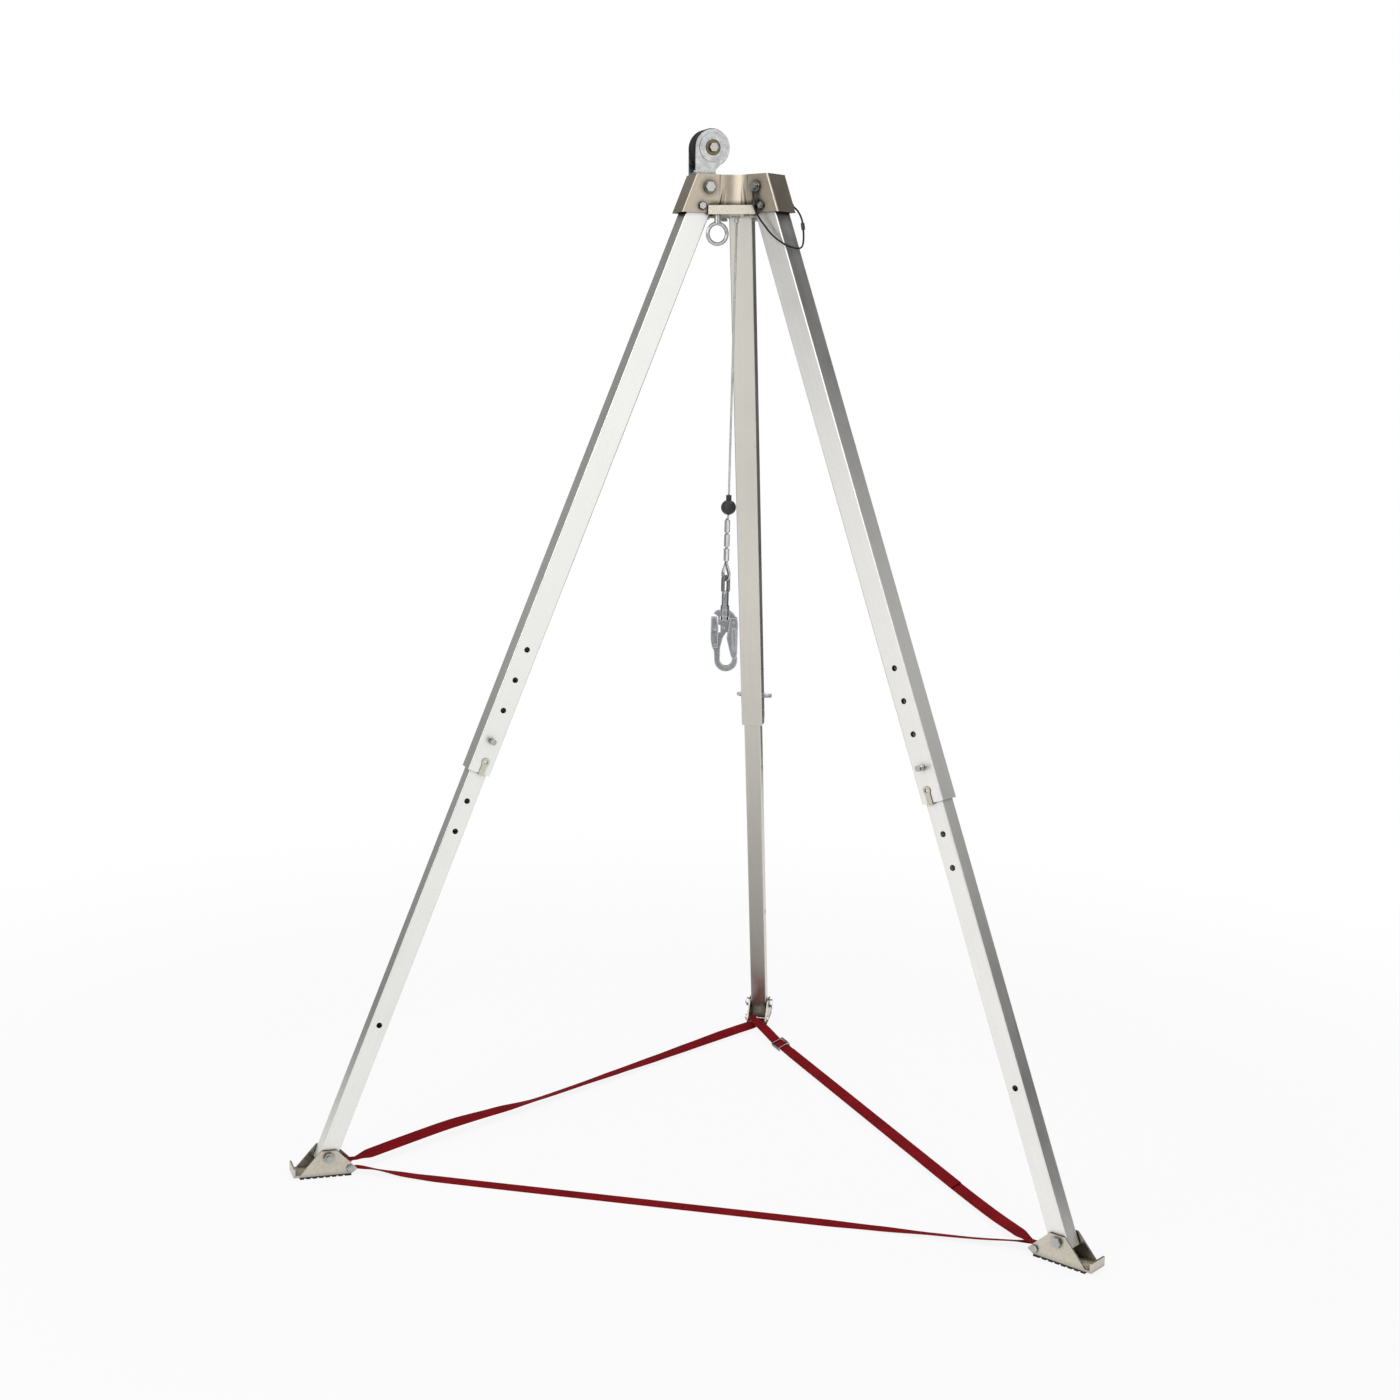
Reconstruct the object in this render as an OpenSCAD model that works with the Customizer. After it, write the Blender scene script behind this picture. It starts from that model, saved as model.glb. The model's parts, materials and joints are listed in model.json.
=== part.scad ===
// Rescue tripod: folding two-stage square legs, pulley head, lifting cable, snap hook and foot straps.
// Millimetres. The origin is on the floor on the tripod's axis, with +Z up.
// A leg has its own frame: X away from the leg's outer face, Y across, Z up along the leg from its pivot.

/* [Legs] */
// Angle of each leg from the vertical
leg_angle = 21.3; // [20:0.1:23]
// Distance of the leg pivots from the axis
pivot_r = 76; // [75:0.5:84]
// Distance down a leg from its pivot to the lock pin
pin_s = 1274; // [1100:1:1400]
// Distance down a leg from the lock pin to the foot pivot
lower_reach = 962; // [800:1:1100]
// Spacing of the adjusting holes
hole_pitch = 70; // [50:1:90]
// Adjusting holes above the lock pin in the upper tube
upper_holes = 3; // [1:1:4]
// Adjusting holes each way from the lock pin in the lower tube
lower_holes = 3; // [1:1:4]
// Distance from the foot pivot up to the stowing hole
stow_hole = 303; // [200:1:400]
// Width of the upper tube
upper_w = 50.8; // [48:0.1:54]
// Wall of the upper tube
upper_wall = 4.8; // [3:0.1:6]
// Outer corner radius of the tubes
tube_corner = 2.5; // [1:0.1:4]
// Gap between the two tubes on each side
tube_clear = 0.6; // [0.3:0.1:1]
// Wall of the lower tube
lower_wall = 3.2; // [2:0.1:5]
// Upper tube past the lock pin
upper_tail = 74; // [60:1:100]
// Upper tube above its pivot
upper_stub = 12; // [9:0.5:13]
// Lower tube above the lock pin
lower_over = 360; // [300:1:420]
// Lower tube past the foot pivot
lower_tail = 18; // [15:0.5:22]

/* [Lock pins] */
// Radius of a lock pin
pin_rad = 6; // [4:0.1:7]
// Clearance round a lock pin
pin_clear = 0.3; // [0.1:0.05:0.5]
// Length of the grooved end outside the tube
pin_long = 21; // [15:0.5:25]
// Length of the tapered end outside the tube
pin_short = 14; // [10:0.5:18]
// Radius of the pin's tapered tip
pin_tip_r = 3.5; // [2:0.1:4]
// Width and place of the groove
pin_groove = 3; // [2:0.1:4]
// Depth of the groove
groove_deep = 1.3; // [0.5:0.1:2]
// Thickness of a pin keeper
keeper_t = 2; // [1.5:0.1:3]
// Radius of the keeper's eye
keeper_eye = 8.5; // [7.5:0.1:10]
// Radius of the hole in the keeper's eye
keeper_hole = 4.5; // [3:0.1:5]
// Width of the keeper's tab
keeper_w = 12; // [8:0.5:14]
// Distance of the keeper's eye from the tube's end
keeper_rise = 27; // [22:0.5:32]
// Shift of the keeper toward the inner side of the leg
keeper_in = 5; // [3:0.5:8]

/* [Head] */
// Head above the leg pivots
head_up = 27; // [26:0.5:32]
// Head below the leg pivots
head_down = 54; // [52:0.5:60]
// Wall of the head
head_wall = 5.4; // [4:0.1:7]
// Thickness of the head's top
head_top_t = 5; // [4:0.1:5.5]
// Gap between a leg and each side of its arm
head_side_clear = 1.2; // [0.6:0.1:2]
// Gap between a leg and the arm's outer wall
head_front_clear = 6.2; // [4:0.1:8]
// Radius of the arms' outer corners
head_round = 4; // [2:0.1:5]
// Radius of the hollow between two arms
hollow_r = 60; // [54:0.5:64]
// Radius of the flutes in the hollow
flute_r = 10.2; // [9:0.1:11]
// Depth of a flute at the head's lower edge
flute_deep = 3.6; // [3:0.1:3.8]
// Distance of a flute from the hollow's middle at its lower end
flute_low = 25; // [22:0.5:26]
// Distance of a flute from the hollow's middle at its upper end
flute_high = 18; // [16:0.5:20]
// Run-out of a flute below the head's top
flute_end = 20; // [15:0.5:26]
// Distance of the flange's edge from the axis
flange_d = 66; // [64:0.5:68]
// Height of the flange that takes the plate's bolts
flange_h = 13; // [12.5:0.1:14]
// Thickness of the anchor plate
plate_t = 4; // [3:0.1:6]
// Height of the anchor plate's upturned bar
bar_rise = 15; // [10:0.5:20]
// Gap between the bar's ends and the arms, along the bar
bar_end = 0.8; // [0.6:0.1:4]
// Gap between the anchor plate and a folded leg
plate_leg_gap = 2.1; // [1.5:0.1:3]
// Reach of the anchor plate in front of a leg
plate_reach = 46.4; // [42:0.1:47]
// Place of the plate's bolts along the sector
plate_bolt_d = 57; // [56:0.1:58]
// Place of the plate's bolts to each side
plate_bolt_x = 31.5; // [31:0.1:32]
// Radius of a plate bolt
plate_bolt_r = 4; // [3:0.1:4.5]
// Depth of the plate's bolts in the head
plate_bolt_in = 10; // [6:0.5:12]

/* [Bolts] */
// Radius of the leg pivots
pivot_bolt_r = 6; // [5:0.1:7]
// Running clearance of the pivots
pivot_clear = 0.1; // [0.05:0.01:0.2]
// Clearance of the fixed bolts
bolt_clear = 0.1; // [0.05:0.01:0.3]
// Width across flats of the pivot bolts
pivot_af = 19; // [16:0.5:21]
// Height of the pivot bolts' heads
pivot_head = 8; // [5:0.5:10]
// Radius of the pivots' washers
washer_r = 12; // [11:0.5:13]
// Thickness of the washers
washer_t = 2; // [1:0.1:3]
// Thread of a bolt past its nut
thread_over = 3; // [1:0.5:5]
// Distance of the stop bolts down the leg
stop_s = 43; // [40:0.5:46]
// Radius of the stop bolts
stop_r = 4; // [3:0.1:5]
// Clearance of the stop bolts in their slots
stop_clear = 0.4; // [0.2:0.05:0.8]
// Width across flats of the stop bolts
stop_af = 13; // [10:0.5:14]
// Height of the stop bolts' heads
stop_head = 5.5; // [4:0.5:7]
// Angle through which a leg folds inward
fold_angle = 20; // [15:0.5:22]

/* [Release pin and lanyard] */
// Radius of the release pin's flange
release_flange = 11; // [9:0.5:12]
// Thickness of the flange
release_flange_t = 3; // [2:0.1:4]
// Radius of the release pin's knob
release_knob = 7; // [6.5:0.1:8]
// Length of the knob
release_knob_l = 12; // [9:0.5:14]
// Release pin past the far side of its arm
release_over = 8; // [6:0.5:12]
// Gap between the release pin's flange and the arm
release_gap = 0.3; // [0.1:0.05:0.5]
// Radius of the lanyard
lanyard_r = 2; // [1.5:0.1:2.5]
// Radius of the lanyard's ferrules
ferrule_r = 4; // [3.5:0.1:5]
// Length of the lanyard's ferrules
ferrule_l = 14; // [10:0.5:16]
// Radius of the lanyard's rivet
tie_r = 3; // [2:0.1:4]
// Radius of the rivet's head
tie_head_r = 6; // [5:0.1:7]
// Thickness of the rivet's head
tie_head_t = 3; // [2:0.1:3.2]

/* [Eye bolt] */
// Middle radius of the eye
eye_mid = 21.85; // [20:0.05:25]
// Radius of the eye's section
eye_rod = 4.15; // [4:0.05:5]
// Radius of the flat land inside the eye
eye_bore = 17.9; // [15.5:0.1:20.5]
// Distance of the eye's centre below the anchor plate
eye_drop = 40.5; // [32:0.5:44]
// Turn of the eye from the side of the head
eye_turn = 30; // [0:1:60]
// Radius of the eye bolt's shank
eye_shank = 5; // [4:0.1:5]
// Radius of the eye bolt's neck
eye_neck = 7; // [6:0.1:7.5]

/* [Pulley] */
// Distance of the pulley's axle from the tripod's axis
pulley_r = 66.5; // [62:0.5:70]
// Height of the pulley's axle above the head
pulley_rise = 57; // [52:0.5:62]
// Radius of the pulley's side plates
cheek_r = 39; // [34:0.5:41]
// Thickness of the side plates
cheek_t = 4; // [3:0.1:5]
// Gap between the side plates and the sheave
sheave_gap = 0.8; // [0.4:0.1:0.95]
// Width of the sheave
sheave_w = 34; // [24:0.5:38]
// Radius of the sheave
sheave_r = 41; // [36:0.5:44]
// Depth of the sheave's groove
groove_d = 9; // [6:0.5:11]
// Width of the sheave's groove
groove_w = 22; // [14:0.5:24]
// Bevel of the sheave's rim
rim_edge = 1; // [0.5:0.1:2]
// Slope of the hollow's sides
rim_slope = 3; // [2:0.1:4]
// Radius of the sheave's hub
hub_r = 16; // [14:0.5:18]
// Depth of the hollow in each side of the sheave
sheave_dish = 8; // [4:0.5:10]
// Base of the pulley's bracket, inner end
base_in = 58; // [54:0.5:62]
// Margin between the pulley's base and the outer edge of the head's top
base_margin = 1.2; // [1:0.1:6]
// Thickness of the bracket's base
base_t = 4; // [3:0.1:5]
// Height of the bracket's inner shoulder
shoulder_rise = 10; // [6:0.5:14]
// Angle of the lowest round point on the inner side
shoulder_angle = 209; // [205:0.5:215]
// Radius of the raised disc on each side plate
disc_r = 30; // [26:0.5:33]
// Thickness of the raised disc
disc_t = 1.5; // [1:0.1:2]
// Radius of the recess in the disc
recess_r = 17; // [16:0.5:20]
// Depth of the recess
recess_deep = 2.5; // [2:0.1:3]
// Radius of the bearing washers
bush_r = 15.5; // [14.5:0.1:15.8]
// Thickness of the bearing washers
bush_t = 2.5; // [2:0.1:3]
// Outer radius of the sheave's bearing sleeve
sleeve_r = 9; // [8:0.1:11]
// Radius of the axle
axle_r = 6; // [5:0.1:7]
// Width across flats of the axle's head and nut
axle_af = 17; // [15:0.5:19]
// Height of the axle's head
axle_head = 7; // [5:0.5:8]
// Radius of the bracket's screws
screw_r = 3.5; // [3:0.1:4]
// Distance of the screws from the ends of the bracket's base
screw_edge = 8.5; // [7.5:0.1:10]
// Radius of the screws' heads
screw_head_r = 6.5; // [5.5:0.1:7]
// Height of the screws' heads
screw_head = 5; // [4:0.1:6]

/* [Cable] */
// Radius of the lifting cable
cable_r = 2.4; // [2:0.1:2.6]
// Half the distance between the two runs of the cable
run_half = 2.6; // [2.6:0.05:3]
// Gap round the cable in its fittings
cable_gap = 0.2; // [0.1:0.05:0.4]
// Distance of the hook's top below the anchor plate
hook_drop = 858; // [700:1:900]
// Outer radius of the cable's end fitting
socket_r = 5; // [4.8:0.1:7]
// Length of the cable's end fitting
socket_l = 14; // [12:0.5:30]
// Radius of the end fitting's flange
socket_flange = 9; // [8:0.1:12]
// Thickness of the end fitting's flange
socket_flange_t = 3; // [2:0.1:4]
// Radius of the end fitting's stud
stud_r = 5; // [4:0.1:5.5]
// Width across flats of the stud's nut
stud_af = 16; // [14:0.5:18]
// Height of the stud's nut
stud_nut = 7; // [5:0.5:9]
// Radius of the stop ball
ball_r = 16.5; // [14:0.5:20]
// Gap between the ball and the topmost pressed sleeve
ball_rise = 11.7; // [8:0.1:30]
// Radius of the ball's neck
ball_neck_r = 6; // [5:0.1:8]
// Top of the neck above the ball's centre
ball_neck_h = 27; // [20:0.5:32]
// Wall of the pressed sleeves
press_wall = 2; // [1.5:0.1:2.5]
// Length of a pressed sleeve
press_l = 27; // [22:0.5:28]
// Gap between two pressed sleeves
press_space = 4.5; // [2:0.5:8]
// Height of the lowest sleeve above the thimble's centre
press_at = 30; // [28:0.5:36]
// End of the cable past the topmost sleeve
cable_tail = 4; // [2:0.5:6]
// Inner radius of the thimble's bend
thimble_in = 9; // [8:0.1:10]
// Wall of the thimble
thimble_wall = 2; // [1.5:0.1:2.5]
// Angle of the thimble's straight flanks from the vertical
thimble_flank = 25; // [22:0.5:28]
// Width of the thimble
thimble_w = 7; // [5:0.1:8]

/* [Hook] */
// Turn of the hook about the axis
hook_turn = 8; // [-30:1:30]
// Turn of the swivel eye about the axis
swivel_turn = 45; // [0:1:60]
// Thickness of the hook's body
hook_t = 12; // [10:0.2:14]
// Gap between the hook's body and the plates beside it
hook_gap = 0.5; // [0.3:0.05:0.8]
// Thickness of the gate's and lever's plates
hook_plate = 1.8; // [1.2:0.1:2.5]
// Depth of the recess in each side of the gate
gate_deep = 0.8; // [0.5:0.1:1.2]
// Outer radius of the hook's bend
bend_out = 25.5; // [24:0.1:27]
// Inner radius of the hook's bend
bend_in = 13; // [11:0.1:14]
// Radius of the hook's rivets
rivet_r = 3; // [2:0.1:3.5]
// Radius of the lever's own rivet
lever_rivet_r = 2.5; // [2:0.1:3]
// Radius of the rivets' heads
rivet_head = 4.5; // [4:0.1:5.5]
// Height of the rivets' heads
rivet_h = 1.5; // [1:0.1:2]
// Radius of the swivel's shank
swivel_r = 6; // [5:0.1:6.5]
// Radius of the swivel's retaining head
swivel_head_r = 8.5; // [7.5:0.1:9]
// Outer radius of the swivel eye's ends
loop_out = 9.5; // [9:0.1:11]
// Inner radius of the swivel eye's ends
loop_in = 5; // [4.5:0.1:5.5]
// Thickness of the swivel eye
loop_t = 8; // [6:0.1:9]
// Height of the swivel eye's upper end centre
loop_top = 68.5; // [64:0.5:74]
// Height of the swivel eye's lower end centre
loop_low = 46; // [42:0.5:50]
// Radius of the swivel eye's neck
loop_neck = 7.5; // [7:0.1:9]

/* [Feet] */
// Height of the foot pivot above the floor
foot_pivot_z = 45; // [44:0.5:50]
// Thickness of a shoe's plates
shoe_t = 4; // [3:0.1:5]
// Gap between the lower tube and a shoe's cheek
shoe_clear = 2.4; // [1:0.1:3]
// Thickness of the sole pad
sole_t = 5; // [4:0.1:6]
// Depth of the sole's grooves
tread_deep = 2; // [1:0.1:3]
// Spacing of the sole's grooves
tread_pitch = 14; // [10:0.5:18]
// Width of the sole's grooves
tread_w = 5; // [3:0.5:7]
// Height of a cheek above the foot pivot
cheek_up = 13; // [11:0.5:16]
// Half width of a cheek's top
cheek_half = 18; // [15:0.5:22]
// Reach of a cheek toward the axis
cheek_in = 62; // [58:0.5:66]
// Height of the cheek's nose above the floor
nose_up = 12; // [10:0.5:15]
// Height of the nose's blunt edge
nose_edge = 3; // [2:0.5:5]
// Reach of the sole toward the axis
sole_in = 50; // [46:0.5:52]
// Reach of a cheek and of the sole away from the axis
cheek_out = 62; // [58:0.5:66]
// Reach of the shoe's floor away from the axis
toe_out = 76; // [72:0.5:80]
// Height of the toe's lip above the floor
lip_up = 24; // [18:0.5:28]
// Radius of the foot bolt
foot_bolt_r = 6; // [5:0.1:7]
// Strap bolt toward the axis from the foot pivot
strap_in = 47; // [45:0.5:49]
// Height of the strap bolt above the floor
strap_up = 17; // [16:0.5:20]
// Radius of the strap bolt
strap_bolt_r = 4; // [3:0.1:5]
// Width across flats of the strap bolt
strap_af = 13; // [11:0.5:14]
// Height of the strap bolt's head
strap_head = 4; // [3:0.5:6]

/* [Straps] */
// Width of the webbing between the feet
web_w = 25; // [20:0.5:28]
// Width of the webbing gathered on its bolt
web_gather = 18; // [14:0.5:20]
// Thickness of the webbing
web_t = 2; // [1.5:0.1:2.5]
// Gap between the webbing and what it passes
web_gap = 0.4; // [0.2:0.05:0.8]
// Straight webbing from the bolt toward the axis
web_lead = 20; // [18:0.5:26]
// Half distance between the two straps on a bolt
web_apart = 10.8; // [10.5:0.1:12]
// Length of the buckle
buckle_l = 44; // [36:0.5:52]
// Thickness of the buckle's rails and bars
buckle_t = 3; // [2:0.1:4]
// Place of the buckle as a share of the span from the rear foot
buckle_at = 0.134; // [0.1:0.001:0.2]

/* [Hidden] */
$fn = 64;
LEFT = 0;
RIGHT = 1;
REAR = 2;
leg_az = [210, 330, 90];
pin_side = [1, -1, -1];
leg_len = pin_s + lower_reach;
pivot_z = foot_pivot_z + leg_len * cos(leg_angle);
foot_r = pivot_r + leg_len * sin(leg_angle);
upper_len = pin_s + upper_tail;
lower_w = upper_w - 2 * upper_wall - 2 * tube_clear;
pocket_half = upper_w / 2 + head_side_clear;
arm_half = pocket_half + head_wall;
arm_in_n = upper_w / 2 + head_front_clear;
arm_n = arm_in_n + head_wall;
head_span = 2 * (head_up + head_down);
hollow_d = (arm_half + hollow_r) / sin(60);
hollow_edge = [arm_half / sin(60) + hollow_r * cos(60) / tan(60), hollow_r * sin(60) / tan(60)];
head_top = pivot_z + head_up;
head_bot = pivot_z - head_down;
base_out = plane_r(arm_n, head_top) - base_margin;
plate_bot = head_bot - plate_t;
bar_gap = 0.3;
bar_in = flange_d + bar_gap;
bar_out = bar_in + plate_t;
bar_half = (bar_in - arm_half / sin(60)) * tan(60) - bar_end;
plate_side = upper_w / 2 + plate_leg_gap;
eye_z = plate_bot - eye_drop;
hook_z = plate_bot - hook_drop;
shoe_in = lower_w / 2 + shoe_clear;
shoe_half = shoe_in + shoe_t;
shoe_floor = sole_t - foot_pivot_z;
strap_z = strap_up - foot_pivot_z;
side_in = sheave_w / 2 + sheave_gap;
side_out = side_in + cheek_t;
groove_floor = sheave_r - groove_d;
pulley_z = head_top + pulley_rise;
wrap_r = strap_bolt_r + web_gap + web_t / 2;

// The lanyard's route from the release pin to its rivet: across from the arm, outward and up from the pivot
lanyard_route = [
    [0, -41, -10], [1, -41.5, -20], [3, -42, -34], [6, -42, -48], [17, -40, -67], [31, -38, -84],
    [46, -37, -100], [64, -35, -114], [80, -31, -124], [87, -20, -129], [90, -5, -131], [89, 10, -130],
    [85, 24, -124], [80, 34, -113], [76, 39, -98], [73, 40, -82], [69, 40, -66], [62, 39, -53],
    [54, 38, -44], [46, 38, -39]
];
// Straps: share of the span, height above the floor and roll of the webbing
front_route = [
    [0.03, 10, -20], [0.08, 5, -12], [0.13, 2.5, -4], [0.3, 2.5, 0], [0.5, 2.5, 0], [0.7, 2.5, 0],
    [0.82, 2.5, -4], [0.91, 5, -12], [0.97, 10, -20]
];
left_rear_route = [
    [0.03, 24, 40], [0.1, 25, 40], [0.2, 26, 35], [0.3, 20, 15], [0.4, 13, -12], [0.5, 12, -10],
    [0.6, 12, 0], [0.7, 12, 10], [0.8, 13, 20], [0.9, 14, 30], [0.97, 13, 30]
];
right_rear_route = [
    [0.03, 22, 20], [0.08, 17, 25], [buckle_at - 0.025, 13, 25], [buckle_at + 0.025, 13, 25],
    [0.2, 12, 25], [0.35, 12, 25], [0.5, 12, 25], [0.65, 12, 25], [0.79, 12, 25], [0.9, 15, 25],
    [0.97, 21, 20]
];
tail_shares = [0.175, 0.3, 0.4, 0.5, 0.6, 0.7, 0.79];
buckle_on = right_rear_route[2];
tail_on = right_rear_route[4];
// Outlines of the hook: X to the nose's side, Y up from the hook's top
hook_outline = [
    [-10, 0], [10, 0], [20, -8], [26, -18], [26, -36], [16, -44], [4, -50], [-3, -62], [-8, -84],
    [-8, -111], [-20.5, -111], [-22, -92], [-26, -82], [-26, -72], [-16, -66], [-14, -52], [-9, -50],
    [-9, -34], [-14, -32], [-15, -14], [-24, -8], [-20, -2]
];
bend_keep = [
    [-30, -110], [-5, -110], [-5, -111], [18, -111], [20, -104], [20, -99], [40, -99], [40, -150], [-30, -150]
];
gate_outline = [
    [12, -16], [27.5, -16], [30, -30], [30, -96], [27, -108], [19, -108], [15, -100], [5, -62], [9, -40]
];
gate_recess = [[17, -40], [26, -40], [26, -90], [20, -90]];
lever_outline = [
    [-30, -16], [-17, -16], [-13, -40], [-13, -66], [-14, -84], [-26, -84], [-30, -66]
];
bend_at = [5, -111];
gate_pivot = [20, -26];
lever_pivot = [-20, -77];
lever_rivet = [-21, -42];
body_rivet = [-2, -38];
gate_back = gate_outline[2][0];
lever_back = lever_outline[0][0];
gate_web_top = -46;
gate_web_end = -96;
lever_web_top = -18;
lever_web_end = -62;
swivel_window_top = -14;
swivel_window_end = -22;
collar_r = swivel_head_r + 1;
collar_h = 9;
neck_h = loop_low - loop_in - 4;

c_head = [0.55, 0.52, 0.47];
c_tube = [0.86, 0.86, 0.84];
c_steel = [0.72, 0.72, 0.7];
c_zinc = [0.75, 0.72, 0.64];
c_black = [0.1, 0.1, 0.1];
c_brass = [0.8, 0.66, 0.25];
c_red = [0.65, 0.06, 0.08];
c_grey = [0.5, 0.5, 0.5];

// Places
module place(k) rotate([0, 0, leg_az[k]]) children();
module sector(k) rotate([0, 0, leg_az[k] + 60]) children();
module pivot(k) place(k) translate([pivot_r, 0, pivot_z]) children();
module leg(k) pivot(k) rotate([0, -leg_angle, 0]) children();
module foot(k) place(k) translate([foot_r, 0, foot_pivot_z]) children();
module sided(k) mirror([0, pin_side[k] < 0 ? 1 : 0, 0]) children();
module hook_place() translate([0, 0, hook_z]) rotate([0, 0, hook_turn]) children();
module swivel_place() translate([0, 0, hook_z]) rotate([0, 0, swivel_turn]) children();
module rope_place() translate([0, 0, hook_z]) rotate([0, 0, swivel_turn + 90]) children();
module pulley_place() place(LEFT) translate([pulley_r, 0, pulley_z]) children();

// Shapes that run across a leg's plane, between two values of Y
module across(r, low, high) translate([0, high, 0]) rotate([90, 0, 0]) cylinder(r = r, h = high - low);
module hex_across(af, low, high) translate([0, high, 0]) rotate([90, 0, 0])
    cylinder(r = af / 2 / cos(30), h = high - low, $fn = 6);
module slab(low, high) translate([0, high, 0]) rotate([90, 0, 0]) linear_extrude(high - low) children();

// Square outline with round corners
module rounded(w, r) {
    square([w - 2 * r, w], center = true);
    square([w, w - 2 * r], center = true);
    for (x = [-1, 1], y = [-1, 1]) translate([x, y] * (w / 2 - r)) circle(r);
}
module tube_outline(w, wall) difference() {
    rounded(w, tube_corner);
    square(w - 2 * wall, center = true);
}

// Distance from the axis of a plane parallel to the leg, at a height
function plane_r(n, z) = pivot_r + (n - (z - pivot_z) * sin(leg_angle)) / cos(leg_angle);
function unit(v) = v / norm(v);
function radial(k) = [cos(leg_az[k]), sin(leg_az[k]), 0];
function tangent(k) = [-sin(leg_az[k]), cos(leg_az[k]), 0];

// A round cord along a route that never runs the way of its side
module cord(route, r, side, sides = 8) {
    n = len(route);
    along = [for (i = [0:n - 1]) unit(route[min(i + 1, n - 1)] - route[max(i - 1, 0)])];
    points = [
        for (i = [0:n - 1])
            let (t = along[i], a = unit(cross(t, side)), b = cross(t, a))
            for (j = [0:sides - 1]) route[i] + r * (a * cos(360 * j / sides) + b * sin(360 * j / sides))
    ];
    sleeve = [
        for (i = [0:n - 2], j = [0:sides - 1])
            let (q = (j + 1) % sides, p = i * sides, u = p + sides)
            each [[p + j, u + j, u + q], [p + j, u + q, p + q]]
    ];
    ends = [[for (j = [0:sides - 1]) j], [for (j = [sides - 1:-1:0]) (n - 1) * sides + j]];
    polyhedron(points, concat(sleeve, ends));
}

// Flat webbing through stations of place, width direction and width
module webbing(stations) {
    n = len(stations);
    points = [
        for (i = [0:n - 1])
            let (
                s = stations[i],
                t = unit(stations[min(i + 1, n - 1)][0] - stations[max(i - 1, 0)][0]),
                b = unit(cross(t, s[1])),
                w = cross(b, t) * s[2] / 2,
                h = b * web_t / 2
            )
            each [s[0] + w + h, s[0] - w + h, s[0] - w - h, s[0] + w - h]
    ];
    skin = [
        for (i = [0:n - 2], j = [0:3])
            let (q = (j + 1) % 4, p = i * 4, u = p + 4)
            each j < 2
                ? [[p + j, u + q, u + j], [p + j, p + q, u + q]]
                : [[p + j, p + q, u + j], [p + q, u + q, u + j]]
    ];
    ends = [[3, 2, 1, 0], [for (j = [0:3]) (n - 1) * 4 + j]];
    polyhedron(points, concat(skin, ends));
}

// Stations of a strap's turn round a bolt; up is 1 where the strap leaves over the bolt
function bolt_point(k, side) =
    radial(k) * (foot_r - strap_in) + tangent(k) * side * web_apart + [0, 0, strap_up];
function wrap(k, side, up) = [
    for (a = [-140, -180, -225, -270, -315, -360])
        [
            bolt_point(k, side) + radial(k) * wrap_r * sin(a) + [0, 0, up * wrap_r * cos(a)],
            -tangent(k), web_gather
        ]
];
function lead(k, side, up) = bolt_point(k, side) - radial(k) * web_lead + [0, 0, up * wrap_r];
function reversed(list) = [for (i = [len(list) - 1:-1:0]) list[i]];
function turned(list) = [for (s = list) [s[0], -s[1], s[2]]];
function span_station(p, q, share, z, roll) =
    let (d = unit([q[0] - p[0], q[1] - p[1], 0]), side = [-d[1], d[0], 0], at = p + (q - p) * share)
    [[at[0], at[1], z], side * cos(roll) + [0, 0, sin(roll)], web_w];
function strap(ka, sa, ua, kb, sb, ub, route) =
    let (p = lead(ka, sa, ua), q = lead(kb, sb, ub))
    concat(
        wrap(ka, sa, ua),
        [[p, -tangent(ka), web_gather]],
        [for (s = route) span_station(p, q, s[0], s[1], s[2])],
        [[q, tangent(kb), web_gather]],
        turned(reversed(wrap(kb, sb, ub)))
    );

// Head
module arm_pocket() slab(-pocket_half, pocket_half) polygon([
    [-head_wall, head_top - head_top_t], [plane_r(arm_in_n, head_top - head_top_t), head_top - head_top_t],
    [plane_r(arm_in_n, head_bot - 1), head_bot - 1], [-head_wall, head_bot - 1]
]);
module arm_outline() {
    translate([-2 * head_span, head_round - arm_half])
        square([2 * head_span + arm_n, 2 * (arm_half - head_round)]);
    translate([-2 * head_span, -arm_half]) square([2 * head_span + arm_n - head_round, 2 * arm_half]);
    for (s = [-1, 1]) translate([arm_n - head_round, s * (arm_half - head_round)]) circle(head_round);
}
module arm_block(k) intersection() {
    leg(k) translate([0, 0, -head_span]) linear_extrude(2 * head_span) arm_outline();
    place(k) translate([-head_wall, -head_span, head_bot])
        cube([2 * head_span, 2 * head_span, head_top - head_bot]);
}
// The hollow's surface at a distance from its middle, moved out from the head by a distance
function hollow_point(e, out) =
    let (part = 1 - out / hollow_r)
    [hollow_d - part * sqrt(pow(hollow_r, 2) - pow(e, 2)), part * e];
module web_block() translate([0, 0, head_bot]) linear_extrude(head_top - head_bot) difference() {
    polygon([[-head_wall, 0], [hollow_edge[0], -hollow_edge[1]], hollow_edge]);
    translate([hollow_d, 0]) circle(hollow_r);
}
module flute(side) {
    low = hollow_point(side * flute_low, flute_r - flute_deep);
    high = hollow_point(side * flute_high, flute_r);
    run = [high[0] - low[0], high[1] - low[1], head_top - flute_end - head_bot];
    translate([low[0], low[1], head_bot]) rotate([0, acos(run[2] / norm(run)), atan2(run[1], run[0])])
        translate([0, 0, -flute_r]) cylinder(r = flute_r, h = norm(run) + 2 * flute_r);
}
module flange() translate([0, 0, head_bot]) linear_extrude(flange_h)
    polygon([[-head_wall, 0], [flange_d, -flange_d * tan(60) / 2], [flange_d, flange_d * tan(60) / 2]]);
module plate_places() for (k = [0:2], s = [-1, 1]) sector(k) translate([plate_bolt_d, s * plate_bolt_x, 0])
    if (k != LEFT || s > 0) children();
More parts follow.
